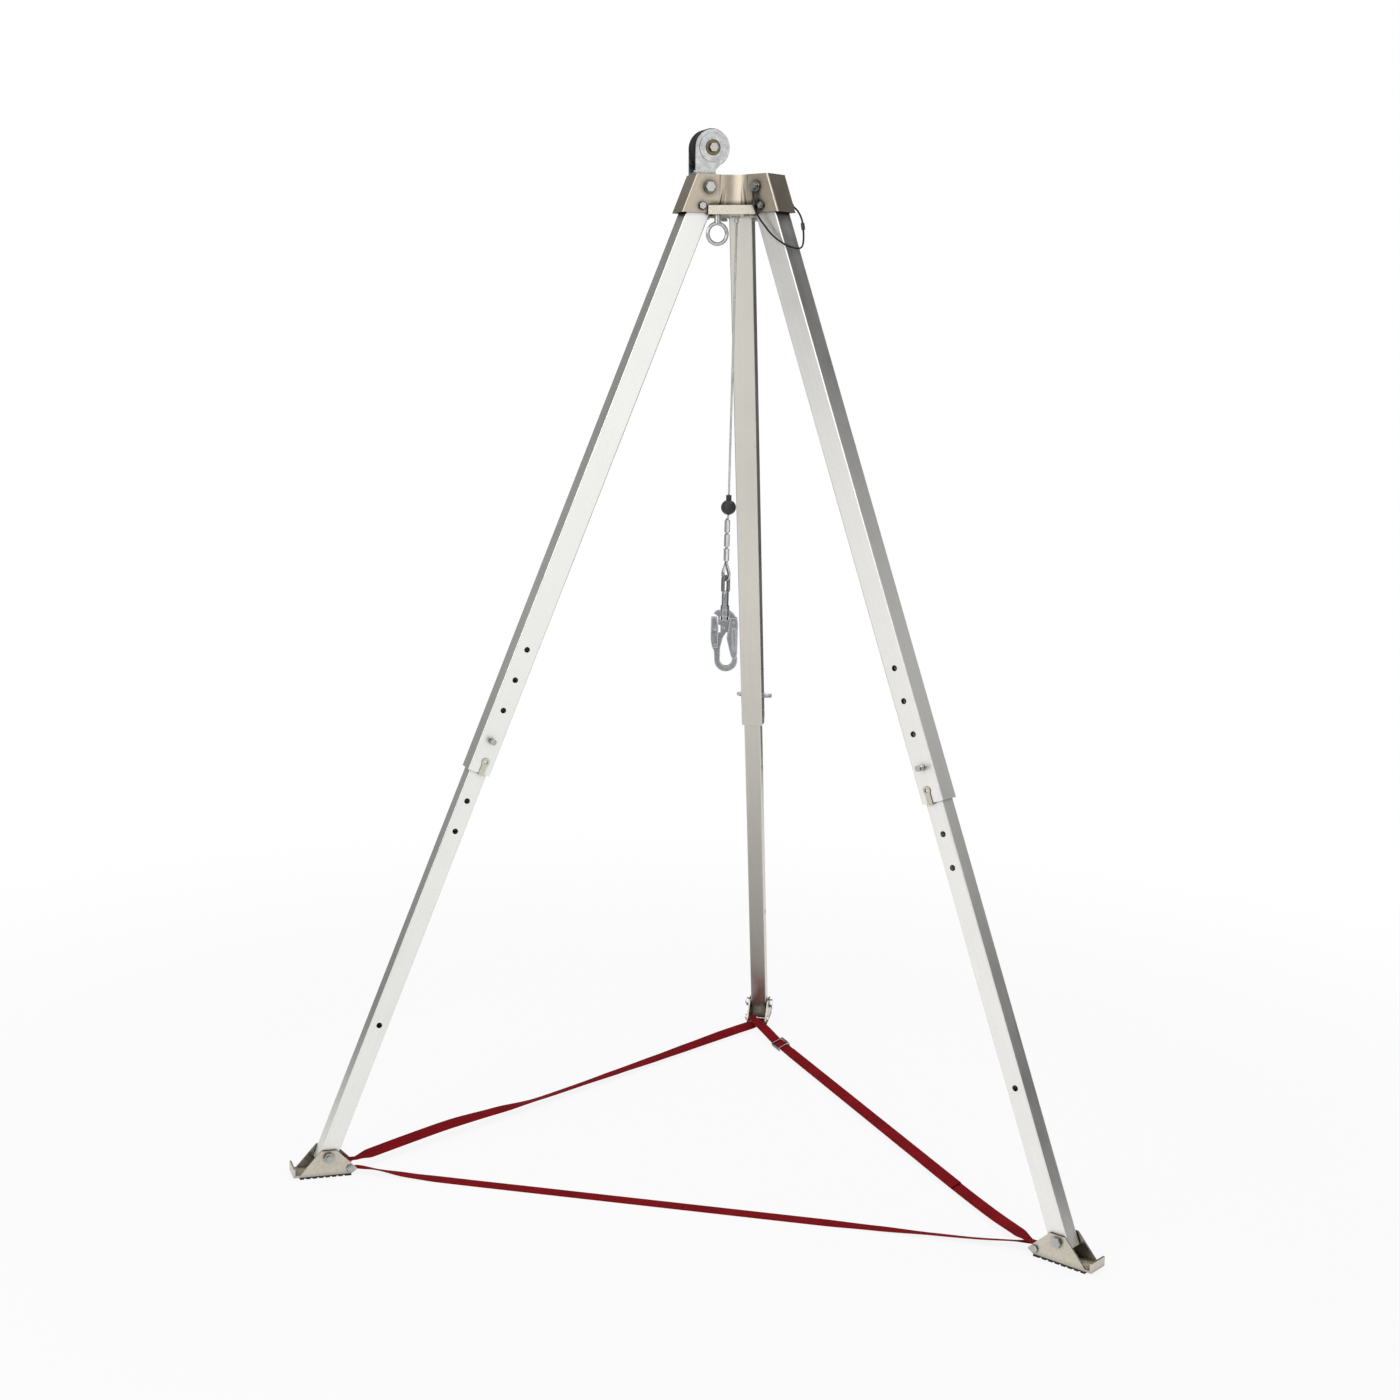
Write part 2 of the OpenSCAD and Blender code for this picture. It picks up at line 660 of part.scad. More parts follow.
module eye_place() sector(LEFT) translate([plate_bolt_d, -plate_bolt_x, 0]) children();
module screw_places() place(LEFT) for (x = [base_in + screw_edge, base_out - screw_edge])
    translate([x, 0, head_top]) children();
lanyard_end = lanyard_route[len(lanyard_route) - 1];
module tie_place() pivot(RIGHT) translate([lanyard_end[0], 0, lanyard_end[2]]) children();

module head_shell() color(c_head) difference() {
    union() {
        difference() {
            union() {
                for (k = [0:2]) arm_block(k);
                for (k = [0:2]) sector(k) web_block();
            }
            for (k = [0:2], side = [-1, 1]) sector(k) flute(side);
        }
        for (k = [0:2]) sector(k) flange();
    }
    for (k = [0:2]) place(k) arm_pocket();
    for (k = [0:2]) pivot(k) across(pivot_bolt_r + pivot_clear, -arm_half - 1, arm_half + 1);
    for (k = [0:2]) leg(k) translate([0, 0, -stop_s])
        across(stop_r + bolt_clear, -arm_half - 1, arm_half + 1);
    plate_places() translate([0, 0, head_bot - 1])
        cylinder(r = plate_bolt_r + bolt_clear, h = plate_bolt_in + 2);
    eye_place() translate([0, 0, head_bot - 1]) cylinder(r = eye_shank + bolt_clear, h = plate_bolt_in + 2);
    screw_places() translate([0, 0, -head_top_t - 1]) cylinder(r = screw_r + bolt_clear, h = head_top_t + 2);
    tie_place() across(tie_r + bolt_clear, 0, arm_half + 1);
}

module anchor_plate() color(c_zinc) difference() {
    union() {
        translate([0, 0, plate_bot]) linear_extrude(plate_t) polygon([
            for (k = [0:2])
                let (
                    d = [cos(leg_az[k] + 60), sin(leg_az[k] + 60)],
                    e = [-d[1], d[0]],
                    bar = e * bar_half,
                    notch = e * (plate_reach * sin(60) - plate_side / 2),
                    notch_d = d * (plate_reach / 2 + plate_side * sin(60))
                )
                each [notch_d - notch, d * bar_out - bar, d * bar_out + bar, notch_d + notch]
        ]);
        for (k = [0:2]) sector(k) translate([bar_in, -bar_half, plate_bot])
            cube([plate_t, 2 * bar_half, plate_t + bar_rise]);
    }
    plate_places() translate([0, 0, plate_bot - 1]) cylinder(r = plate_bolt_r + bolt_clear, h = plate_t + 2);
    eye_place() translate([0, 0, plate_bot - 1]) cylinder(r = eye_shank + bolt_clear, h = plate_t + 2);
    translate([0, 0, plate_bot - 1]) cylinder(r = stud_r + bolt_clear, h = plate_t + 2);
}

module plate_bolts() color(c_steel) plate_places() translate([0, 0, plate_bot]) {
    translate([0, 0, -stop_head / 2]) cylinder(r = plate_bolt_r, h = stop_head / 2 + plate_t + plate_bolt_in);
    translate([0, 0, -stop_head]) cylinder(r = stop_af / 2 / cos(30), h = stop_head, $fn = 6);
}

module leg_pivot_bolts() color(c_steel) for (k = [LEFT, REAR]) pivot(k) {
    across(pivot_bolt_r, -arm_half - washer_t - pivot_head - thread_over,
        arm_half + washer_t + pivot_head / 2);
    across(washer_r, arm_half, arm_half + washer_t);
    hex_across(pivot_af, arm_half + washer_t, arm_half + washer_t + pivot_head);
}
module leg_pivot_nuts() color(c_steel) for (k = [LEFT, REAR]) pivot(k) difference() {
    union() {
        across(washer_r, -arm_half - washer_t, -arm_half);
        hex_across(pivot_af, -arm_half - washer_t - pivot_head, -arm_half - washer_t / 2);
    }
    across(pivot_bolt_r + bolt_clear, -arm_half - washer_t - pivot_head - 1, -arm_half + 1);
}
module stop_bolts() color(c_steel) for (k = [0:2]) leg(k) translate([0, 0, -stop_s]) {
    across(stop_r, -arm_half - stop_head - thread_over, arm_half + stop_head / 2);
    hex_across(stop_af, arm_half, arm_half + stop_head);
}
module stop_nuts() color(c_steel) for (k = [0:2]) leg(k) translate([0, 0, -stop_s]) difference() {
    hex_across(stop_af, -arm_half - stop_head, -arm_half);
    across(stop_r + bolt_clear, -arm_half - stop_head - 1, -arm_half + 1);
}

module eye_bolt() color(c_steel) eye_place() {
    translate([0, 0, eye_z]) rotate([0, 90, eye_turn]) difference() {
        rotate_extrude() translate([eye_mid, 0]) circle(eye_rod);
        cylinder(r = eye_bore, h = 4 * eye_rod, center = true);
    }
    translate([0, 0, eye_z + eye_mid]) cylinder(r = eye_neck, h = eye_drop - eye_mid);
    translate([0, 0, plate_bot - eye_shank]) cylinder(r = eye_shank, h = eye_shank + plate_t + plate_bolt_in);
}

// Pulley on the left arm
module cheek_outline() {
    circle(cheek_r);
    polygon([
        [base_in - pulley_r, -pulley_rise], [base_out - pulley_r, -pulley_rise], [cheek_r, 0], [0, 0],
        [cheek_r * cos(shoulder_angle), cheek_r * sin(shoulder_angle)],
        [base_in - pulley_r, shoulder_rise - pulley_rise]
    ]);
}
module pulley_bracket() color(c_steel) difference() {
    union() {
        pulley_place() {
            slab(side_in, side_out) cheek_outline();
            slab(-side_out, -side_in) cheek_outline();
            across(disc_r, side_out - 1, side_out + disc_t);
            across(disc_r, -side_out - disc_t, -side_out + 1);
        }
        place(LEFT) translate([base_in, -side_out, head_top])
            cube([base_out - base_in, 2 * side_out, base_t]);
    }
    pulley_place() {
        across(axle_r + bolt_clear, -side_out - disc_t - 1, side_out + disc_t + 1);
        across(recess_r, side_out + disc_t - recess_deep, side_out + disc_t + 1);
        across(recess_r, -side_out - disc_t - 1, -side_out - disc_t + recess_deep);
    }
    screw_places() translate([0, 0, -1]) cylinder(r = screw_r + bolt_clear, h = base_t + 2);
}
module pulley_screws() color(c_steel) screw_places() {
    translate([0, 0, -head_top_t]) cylinder(r = screw_r, h = head_top_t + base_t + screw_head / 2);
    translate([0, 0, base_t]) cylinder(r = screw_head_r, h = screw_head);
}
washer_low = side_out + disc_t - recess_deep;
washer_high = washer_low + bush_t;
module pulley_axle() color(c_steel) pulley_place() {
    across(axle_r, -washer_high - axle_head - thread_over, washer_high + axle_head / 2);
    hex_across(axle_af, washer_high, washer_high + axle_head);
}
module pulley_axle_nut() color(c_steel) pulley_place() difference() {
    hex_across(axle_af, -washer_high - axle_head, -washer_high);
    across(axle_r + bolt_clear, -washer_high - axle_head - 1, -washer_high + 1);
}
module pulley_bushes() color(c_brass) pulley_place() difference() {
    union() {
        across(sleeve_r, -side_in, side_in);
        across(bush_r, washer_low, washer_high);
        across(bush_r, -washer_high, -washer_low);
    }
    across(axle_r + bolt_clear, -washer_high - 1, washer_high + 1);
}
sheave_half = [
    [sleeve_r + pivot_clear, sheave_w / 2], [hub_r, sheave_w / 2],
    [hub_r + rim_slope, sheave_w / 2 - sheave_dish],
    [groove_floor - 2 * rim_slope, sheave_w / 2 - sheave_dish],
    [groove_floor - rim_slope, sheave_w / 2], [sheave_r - rim_edge, sheave_w / 2],
    [sheave_r, sheave_w / 2 - rim_edge], [sheave_r, groove_w / 2], [groove_floor, groove_w / 5]
];
module sheave() color(c_black) pulley_place() rotate([90, 0, 0]) rotate_extrude()
    polygon(concat([for (p = sheave_half) [p[0], -p[1]]], reversed(sheave_half)));

// Cable, in the thimble's plane: X across the runs, Z up from the hook's top
thimble_z = loop_top + sqrt(pow(loop_in, 2) - pow(thimble_w / 2, 2)) - web_gap
    + sqrt(pow(thimble_in, 2) - pow(loop_t / 2, 2));
thimble_out = thimble_in + thimble_wall;
bend_cable = thimble_out + cable_gap + cable_r;
press_low = thimble_z + press_at;
press_step = press_l + press_space;
press_top = press_low + 2 * press_step + press_l;
ball_h = press_top + ball_rise + ball_r;
cable_top = hook_drop - cable_tail;
run_low = press_low - press_at / 15;
cable_route = concat(
    [for (i = [0:7]) [-run_half, 0, cable_top + (run_low - cable_top) * i / 7]],
    [for (a = [180 - thimble_flank:(180 + 2 * thimble_flank) / 16:360 + thimble_flank + 1])
        [bend_cable * cos(a), 0, thimble_z + bend_cable * sin(a)]],
    [[run_half, 0, run_low], [run_half, 0, press_top], [run_half, 0, press_top + cable_tail]]
);
module lift_cable() color(c_steel) rope_place() cord(cable_route, cable_r, [0, 1, 0]);
module cable_socket() color(c_steel) {
    difference() {
        rope_place() translate([-run_half, 0, hook_drop - socket_l]) cylinder(r = socket_r, h = socket_l);
        rope_place() translate([-run_half, 0, 0])
            cylinder(r = cable_r + cable_gap, h = cable_top + cable_gap);
    }
    translate([0, 0, plate_bot - socket_flange_t]) cylinder(r = socket_flange, h = socket_flange_t);
    translate([0, 0, plate_bot - socket_flange_t / 2])
        cylinder(r = stud_r, h = socket_flange_t / 2 + plate_t + stud_nut + thread_over);
}
module socket_nut() color(c_steel) translate([0, 0, head_bot]) difference() {
    cylinder(r = stud_af / 2 / cos(30), h = stud_nut, $fn = 6);
    translate([0, 0, -1]) cylinder(r = stud_r + bolt_clear, h = stud_nut + 2);
}
module ball_stop() color(c_grey) rope_place() translate([-run_half, 0, ball_h]) difference() {
    union() {
        sphere(ball_r);
        cylinder(r = ball_neck_r, h = ball_neck_h);
    }
    translate([0, 0, -ball_r - 1]) cylinder(r = cable_r + cable_gap, h = ball_r + ball_neck_h + 2);
}
module oval(r) {
    square([2 * run_half, 2 * r], center = true);
    for (x = [-run_half, run_half]) translate([x, 0]) circle(r);
}
module press_outline() difference() {
    oval(cable_r + cable_gap + press_wall);
    oval(cable_r + cable_gap);
}
module press_sleeves() color(c_steel) rope_place()
    for (i = [0:2]) translate([0, 0, press_low + i * press_step]) linear_extrude(press_l) press_outline();
module drop_outline(r) {
    circle(r);
    polygon([
        [-r * cos(thimble_flank), r * sin(thimble_flank)], [0, 0],
        [r * cos(thimble_flank), r * sin(thimble_flank)], [0, r / sin(thimble_flank)]
    ]);
}
module thimble() color(c_steel) rope_place() translate([0, 0, thimble_z]) slab(-thimble_w / 2, thimble_w / 2)
    difference() {
        drop_outline(thimble_out);
        drop_outline(thimble_in);
    }

// Swivel eye and snap hook
module loop_outline(r) {
    translate([0, loop_top]) circle(r);
    translate([0, loop_low]) circle(r);
    translate([-r, loop_low]) square([2 * r, loop_top - loop_low]);
}
module swivel_eye() color(c_steel) swivel_place() difference() {
    union() {
        slab(-loop_t / 2, loop_t / 2) loop_outline(loop_out);
        rotate_extrude() polygon([
            [0, swivel_window_end + 1], [swivel_head_r, swivel_window_end + 1],
            [swivel_head_r, swivel_window_top - 1], [swivel_r, swivel_window_top - 1], [swivel_r, 1],
            [collar_r, 1], [collar_r, collar_h], [loop_neck, collar_h + 3], [loop_neck, neck_h],
            [loop_neck - 3, loop_low], [0, loop_low]
        ]);
    }
    slab(-loop_t, loop_t) loop_outline(loop_in);
}
module hook_body() color(c_grey) hook_place() difference() {
    union() {
        slab(-hook_t / 2, hook_t / 2) {
            polygon(hook_outline);
            intersection() {
                translate(bend_at) difference() {
                    circle(bend_out);
                    circle(bend_in);
                }
                polygon(bend_keep);
            }
        }
        translate([0, 0, swivel_window_top]) cylinder(r = swivel_head_r + 2, h = -swivel_window_top);
    }
    translate([0, 0, swivel_window_top - 1]) cylinder(r = swivel_r + pivot_clear, h = 2 - swivel_window_top);
    translate([-swivel_head_r - 1, -hook_t, swivel_window_end])
        cube([2 * swivel_head_r + 2, 2 * hook_t, swivel_window_top - swivel_window_end]);
    for (p = [gate_pivot, lever_pivot, body_rivet]) translate([p[0], 0, p[1]])
        across(rivet_r + pivot_clear, -hook_t, hook_t);
}
plate_low = hook_t / 2 + hook_gap;
plate_high = plate_low + hook_plate;
module hook_gate() color(c_steel) hook_place() difference() {
    union() {
        for (s = [0, 1]) mirror([0, s, 0]) slab(plate_low, plate_high) polygon(gate_outline);
        translate([gate_back - hook_plate, -plate_high, gate_web_end])
            cube([hook_plate, 2 * plate_high, gate_web_top - gate_web_end]);
    }
    for (s = [0, 1]) mirror([0, s, 0]) slab(plate_high - gate_deep, hook_t) polygon(gate_recess);
    translate([gate_pivot[0], 0, gate_pivot[1]]) across(rivet_r + pivot_clear, -hook_t, hook_t);
}
module hook_lever() color(c_steel) hook_place() difference() {
    union() {
        for (s = [0, 1]) mirror([0, s, 0]) slab(plate_low, plate_high) polygon(lever_outline);
        translate([lever_back, -plate_high, lever_web_end])
            cube([hook_plate, 2 * plate_high, lever_web_top - lever_web_end]);
        translate([lever_rivet[0], 0, lever_rivet[1]])
            across(lever_rivet_r, -plate_high - rivet_h, plate_high + rivet_h);
    }
    translate([lever_pivot[0], 0, lever_pivot[1]]) across(rivet_r + pivot_clear, -hook_t, hook_t);
}
module rivet(p, half) translate([p[0], 0, p[1]]) {
    across(rivet_r, -half - rivet_h / 2, half + rivet_h / 2);
    across(rivet_head, half, half + rivet_h);
    across(rivet_head, -half - rivet_h, -half);
}
module hook_rivets() color(c_steel) hook_place() {
    rivet(gate_pivot, plate_high + bar_gap);
    rivet(lever_pivot, plate_high + bar_gap);
    rivet(body_rivet, hook_t / 2);
}

// Release pin and lanyard on the right arm
release_low = -arm_half - release_gap;
module release_pin() color(c_steel) pivot(RIGHT) {
    across(pivot_bolt_r, release_low - release_flange_t / 2, arm_half + release_over);
    across(release_flange, release_low - release_flange_t, release_low);
    across(release_knob, release_low - release_flange_t - release_knob_l, release_low - release_flange_t / 2);
}
module lanyard() color(c_black) pivot(RIGHT) cord(lanyard_route, lanyard_r, [0.85, 0, 0.5]);
module ferrule_on(i) {
    p = lanyard_route[i];
    d = unit(lanyard_route[i + 1] - lanyard_route[i - 1]);
    pivot(RIGHT) translate(p) rotate([0, acos(d[2]), atan2(d[1], d[0])]) difference() {
        cylinder(r = ferrule_r, h = ferrule_l, center = true);
        cylinder(r = lanyard_r + web_gap, h = ferrule_l + 1, center = true);
    }
}
module pin_ferrule() color(c_grey) ferrule_on(2);
module tie_ferrule() color(c_grey) ferrule_on(len(lanyard_route) - 5);
module tie_rivet() color(c_steel) tie_place() {
    across(tie_r, pocket_half, arm_half + tie_head_t / 2);
    across(tie_head_r, arm_half, arm_half + tie_head_t);
}

// Legs
module stop_slot() rotate([90, 0, 0]) {
    rotate([0, 0, -90]) rotate_extrude(angle = fold_angle)
        translate([stop_s - stop_r - stop_clear, -upper_w]) square([2 * (stop_r + stop_clear), 2 * upper_w]);
    for (a = [-90, fold_angle - 90]) rotate([0, 0, a]) translate([stop_s, 0, 0])
        cylinder(r = stop_r + stop_clear, h = 2 * upper_w, center = true);
}
module upper_tube(k) color(c_tube) leg(k) difference() {
    translate([0, 0, -upper_len]) linear_extrude(upper_len + upper_stub) tube_outline(upper_w, upper_wall);
    across(pivot_bolt_r + pivot_clear, -upper_w, upper_w);
    stop_slot();
    for (i = [0:upper_holes]) translate([0, 0, i * hole_pitch - pin_s])
        across(pin_rad + pin_clear, -upper_w, upper_w);
}
module lower_tube(k) color(c_tube) leg(k) difference() {
    translate([0, 0, -leg_len - lower_tail]) linear_extrude(lower_reach + lower_tail + lower_over)
        tube_outline(lower_w, lower_wall);
    for (i = [-lower_holes:lower_holes]) translate([0, 0, i * hole_pitch - pin_s])
        across(pin_rad + pin_clear, -upper_w, upper_w);
    translate([0, 0, stow_hole - leg_len]) across(pin_rad + pin_clear, -upper_w, upper_w);
    translate([0, 0, -leg_len]) across(foot_bolt_r + pivot_clear, -upper_w, upper_w);
}
pin_end = upper_w / 2 + pin_long;
pin_start = -upper_w / 2 - pin_short;
module lock_pin(k) color(c_steel) leg(k) translate([0, 0, -pin_s]) sided(k) rotate([-90, 0, 0])
    rotate_extrude() polygon([
        [0, pin_start], [pin_tip_r, pin_start], [pin_rad, pin_start + pin_short * 2 / 3],
        [pin_rad, pin_end - 2 * pin_groove], [pin_rad - groove_deep, pin_end - 2 * pin_groove],
        [pin_rad - groove_deep, pin_end - pin_groove], [pin_rad, pin_end - pin_groove],
        [pin_rad, pin_end - rim_edge], [pin_rad - rim_edge, pin_end], [0, pin_end]
    ]);
module pin_keeper(k) color(c_zinc) leg(k) translate([-keeper_in, 0, -upper_len]) sided(k) {
    slab(upper_w / 2 + tube_clear / 2, upper_w / 2 + tube_clear / 2 + keeper_t) difference() {
        union() {
            translate([0, keeper_rise]) circle(keeper_eye);
            translate([-keeper_w / 2, -tube_clear / 2 - keeper_t])
                square([keeper_w, keeper_rise + tube_clear / 2 + keeper_t]);
        }
        translate([0, keeper_rise]) circle(keeper_hole);
    }
    translate([-keeper_w / 2, upper_w / 2 - upper_wall + tube_clear, -tube_clear / 2 - keeper_t])
        cube([keeper_w, upper_wall, keeper_t]);
}

// Feet
module cheek_shape() polygon([
    [-cheek_half, cheek_up], [cheek_half, cheek_up], [cheek_out, shoe_floor + shoe_t],
    [cheek_out, shoe_floor], [-sole_in, shoe_floor], [-cheek_in, nose_up - foot_pivot_z],
    [-cheek_in, nose_up + nose_edge - foot_pivot_z]
]);
module shoe(k) color(c_zinc) foot(k) difference() {
    union() {
        slab(shoe_in, shoe_half) cheek_shape();
        slab(-shoe_half, -shoe_in) cheek_shape();
        translate([-sole_in, -shoe_half, shoe_floor]) cube([sole_in + toe_out, 2 * shoe_half, shoe_t]);
        translate([toe_out - shoe_t, -shoe_half, shoe_floor]) cube([shoe_t, 2 * shoe_half, lip_up - sole_t]);
    }
    across(foot_bolt_r + bolt_clear, -shoe_half - 1, shoe_half + 1);
    translate([-strap_in, 0, strap_z]) across(strap_bolt_r + bolt_clear, -shoe_half - 1, shoe_half + 1);
}
module sole(k) color(c_black) foot(k) difference() {
    translate([-sole_in, -shoe_half, -foot_pivot_z]) cube([sole_in + cheek_out, 2 * shoe_half, sole_t]);
    for (x = [tread_pitch - sole_in:tread_pitch:cheek_out - tread_w])
        translate([x, -shoe_half - 1, -foot_pivot_z - 1]) cube([tread_w, 2 * shoe_half + 2, tread_deep + 1]);
}
module foot_bolt(k) color(c_steel) foot(k) {
    across(foot_bolt_r, -shoe_half - pivot_head / 2, shoe_half + pivot_head + thread_over);
    hex_across(pivot_af, -shoe_half - pivot_head, -shoe_half);
    hex_across(pivot_af, shoe_half, shoe_half + pivot_head);
}
module strap_bolt(k) color(c_steel) foot(k) translate([-strap_in, 0, strap_z]) {
    across(strap_bolt_r, -shoe_half - strap_head / 2, shoe_half + strap_head + thread_over / 2);
    hex_across(strap_af, -shoe_half - strap_head, -shoe_half);
    hex_across(strap_af, shoe_half, shoe_half + strap_head);
}

// Straps: the front one leaves under both its bolts, the right one over both, the left one over the front's
module front_strap() color(c_red) webbing(strap(LEFT, 1, -1, RIGHT, 1, -1, front_route));
module left_rear_strap() color(c_red) webbing(strap(LEFT, -1, 1, REAR, -1, -1, left_rear_route));
rear_lead = lead(REAR, 1, 1);
right_lead = lead(RIGHT, -1, 1);
buckle_station = span_station(rear_lead, right_lead, buckle_at, buckle_on[1], buckle_on[2]);
function lifted(s, h) =
    let (d = unit([right_lead[0] - rear_lead[0], right_lead[1] - rear_lead[1], 0]))
    [s[0] + cross(d, s[1]) * h, s[1], s[2]];
module right_rear_strap() color(c_red) {
    webbing(strap(REAR, 1, 1, RIGHT, -1, 1, right_rear_route));
    webbing([
        for (f = tail_shares)
            lifted(span_station(rear_lead, right_lead, f, tail_on[1], tail_on[2]), web_t + 2 * web_gap)
    ]);
}
module strap_buckle() color(c_steel) translate(buckle_station[0])
    rotate([0, 0, atan2(right_lead[1] - rear_lead[1], right_lead[0] - rear_lead[0])])
        rotate([buckle_on[2], 0, 0]) {
            inner = web_w / 2 + web_gap + 1;
            rise = web_t / 2 + web_gap;
            bar = [buckle_t, 2 * inner + 2, buckle_t];
            for (y = [-inner - buckle_t, inner]) translate([-buckle_l / 2, y, -rise - buckle_t])
                cube([buckle_l, buckle_t, 2 * (rise + buckle_t)]);
            for (x = [-buckle_l / 2, buckle_l / 2 - buckle_t]) translate([x, -inner - 1, rise]) cube(bar);
            translate([-buckle_t / 2, -inner - 1, -rise - buckle_t]) cube(bar);
        }

head_shell();
anchor_plate();
plate_bolts();
leg_pivot_bolts();
leg_pivot_nuts();
stop_bolts();
stop_nuts();
eye_bolt();
pulley_bracket();
pulley_screws();
pulley_axle();
pulley_axle_nut();
pulley_bushes();
sheave();
cable_socket();
socket_nut();
lift_cable();
ball_stop();
press_sleeves();
thimble();
swivel_eye();
hook_body();
hook_gate();
hook_lever();
hook_rivets();
release_pin();
lanyard();
pin_ferrule();
tie_ferrule();
tie_rivet();
upper_tube(LEFT);  // left_upper_tube
lower_tube(LEFT);  // left_lower_tube
lock_pin(LEFT);  // left_lock_pin
pin_keeper(LEFT);  // left_pin_keeper
shoe(LEFT);  // left_shoe
sole(LEFT);  // left_sole
foot_bolt(LEFT);  // left_foot_bolt
strap_bolt(LEFT);  // left_strap_bolt
upper_tube(RIGHT);  // right_upper_tube
lower_tube(RIGHT);  // right_lower_tube
lock_pin(RIGHT);  // right_lock_pin
pin_keeper(RIGHT);  // right_pin_keeper
shoe(RIGHT);  // right_shoe
sole(RIGHT);  // right_sole
foot_bolt(RIGHT);  // right_foot_bolt
strap_bolt(RIGHT);  // right_strap_bolt
upper_tube(REAR);  // rear_upper_tube
lower_tube(REAR);  // rear_lower_tube
lock_pin(REAR);  // rear_lock_pin
pin_keeper(REAR);  // rear_pin_keeper
shoe(REAR);  // rear_shoe
sole(REAR);  // rear_sole
foot_bolt(REAR);  // rear_foot_bolt
strap_bolt(REAR);  // rear_strap_bolt
front_strap();
left_rear_strap();
right_rear_strap();
strap_buckle();
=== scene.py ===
import json
from math import atan2, cos, pi, radians, sin

import bmesh
import bpy
from mathutils import Matrix, Vector


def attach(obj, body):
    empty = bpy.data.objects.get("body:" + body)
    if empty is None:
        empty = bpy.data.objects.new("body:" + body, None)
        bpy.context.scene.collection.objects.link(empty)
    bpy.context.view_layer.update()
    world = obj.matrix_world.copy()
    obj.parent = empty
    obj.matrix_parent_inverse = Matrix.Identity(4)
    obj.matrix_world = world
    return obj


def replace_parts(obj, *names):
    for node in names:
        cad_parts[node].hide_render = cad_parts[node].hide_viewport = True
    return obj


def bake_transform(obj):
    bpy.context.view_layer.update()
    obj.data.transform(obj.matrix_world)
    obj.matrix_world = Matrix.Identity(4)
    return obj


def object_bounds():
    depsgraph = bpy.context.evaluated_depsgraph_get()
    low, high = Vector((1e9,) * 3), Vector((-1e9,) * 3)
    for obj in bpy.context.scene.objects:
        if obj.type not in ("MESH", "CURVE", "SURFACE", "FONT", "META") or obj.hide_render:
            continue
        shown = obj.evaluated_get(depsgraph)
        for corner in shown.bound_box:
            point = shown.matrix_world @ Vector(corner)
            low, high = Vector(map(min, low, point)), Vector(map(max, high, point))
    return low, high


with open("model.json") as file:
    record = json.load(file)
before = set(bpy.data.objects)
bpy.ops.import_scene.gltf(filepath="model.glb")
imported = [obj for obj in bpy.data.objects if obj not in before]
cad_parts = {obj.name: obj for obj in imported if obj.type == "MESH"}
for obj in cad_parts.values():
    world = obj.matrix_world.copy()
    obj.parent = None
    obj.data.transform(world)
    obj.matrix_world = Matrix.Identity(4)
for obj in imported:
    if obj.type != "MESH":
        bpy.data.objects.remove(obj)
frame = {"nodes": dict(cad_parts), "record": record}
cad_low, cad_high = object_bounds()
nodes = frame["nodes"]
scene = bpy.context.scene
UP = Vector((0, 0, 1))
MM_PER_M = 1000

# Sizes and places that the part's source gives, in metres, with angles in radians
LEG_TURN = {"left": radians(210), "right": radians(330), "rear": radians(90)}
LEG_LEAN = radians(21.3)
PIVOT_R = 0.076
PIVOT_Z = 2.12826
FOOT_R = 0.88823
STRAP_IN = 0.047
STRAP_UP = 0.017
STRAP_APART = 0.0108
WRAP_R = 0.0054
WEB_LEAD = 0.020
WEB_W = 0.025
WEB_GATHER = 0.018
WEB_T = 0.002
TAIL_LIFT = 0.0028
BUCKLE_L = 0.044
BUCKLE_T = 0.003
BUCKLE_IN = 0.0139
BUCKLE_RISE = 0.0014
HOOK_Z = 1.21226
ROPE_TURN = radians(135)
ROPE_R = 0.0024
ROPE_HALF = 0.0026
ROPE_TOP = 0.854
ROPE_LOW = 0.10773
ROPE_TAIL = 0.004
PRESS_TOP = 0.19973
THIMBLE_Z = 0.07973
THIMBLE_BEND = 0.0136
CORD_R = 0.002

# The angle of the thimble's flanks, in degrees
THIMBLE_FLANK = 25
# The place of the buckle, as a share of its strap's span
BUCKLE_AT = 0.134


def radial(leg):
    return Vector((cos(LEG_TURN[leg]), sin(LEG_TURN[leg]), 0))


def tangent(leg):
    return Vector((-sin(LEG_TURN[leg]), cos(LEG_TURN[leg]), 0))


def leg_axis(leg):
    return radial(leg) * sin(LEG_LEAN) - UP * cos(LEG_LEAN)


def link(name, data):
    made = bpy.data.objects.new(name, data)
    scene.collection.objects.link(made)
    return made


def to_object(name, shape):
    """An object made from a shape, which is freed."""
    data = bpy.data.meshes.new(name)
    shape.to_mesh(data)
    shape.free()
    return link(name, data)


def dress(obj, material):
    obj.data.materials.clear()
    obj.data.materials.append(material)


# How alike the rounded and the true direction of a surface are, on an edge and on a flat face
EDGE_SPAN = (0.72, 0.98)


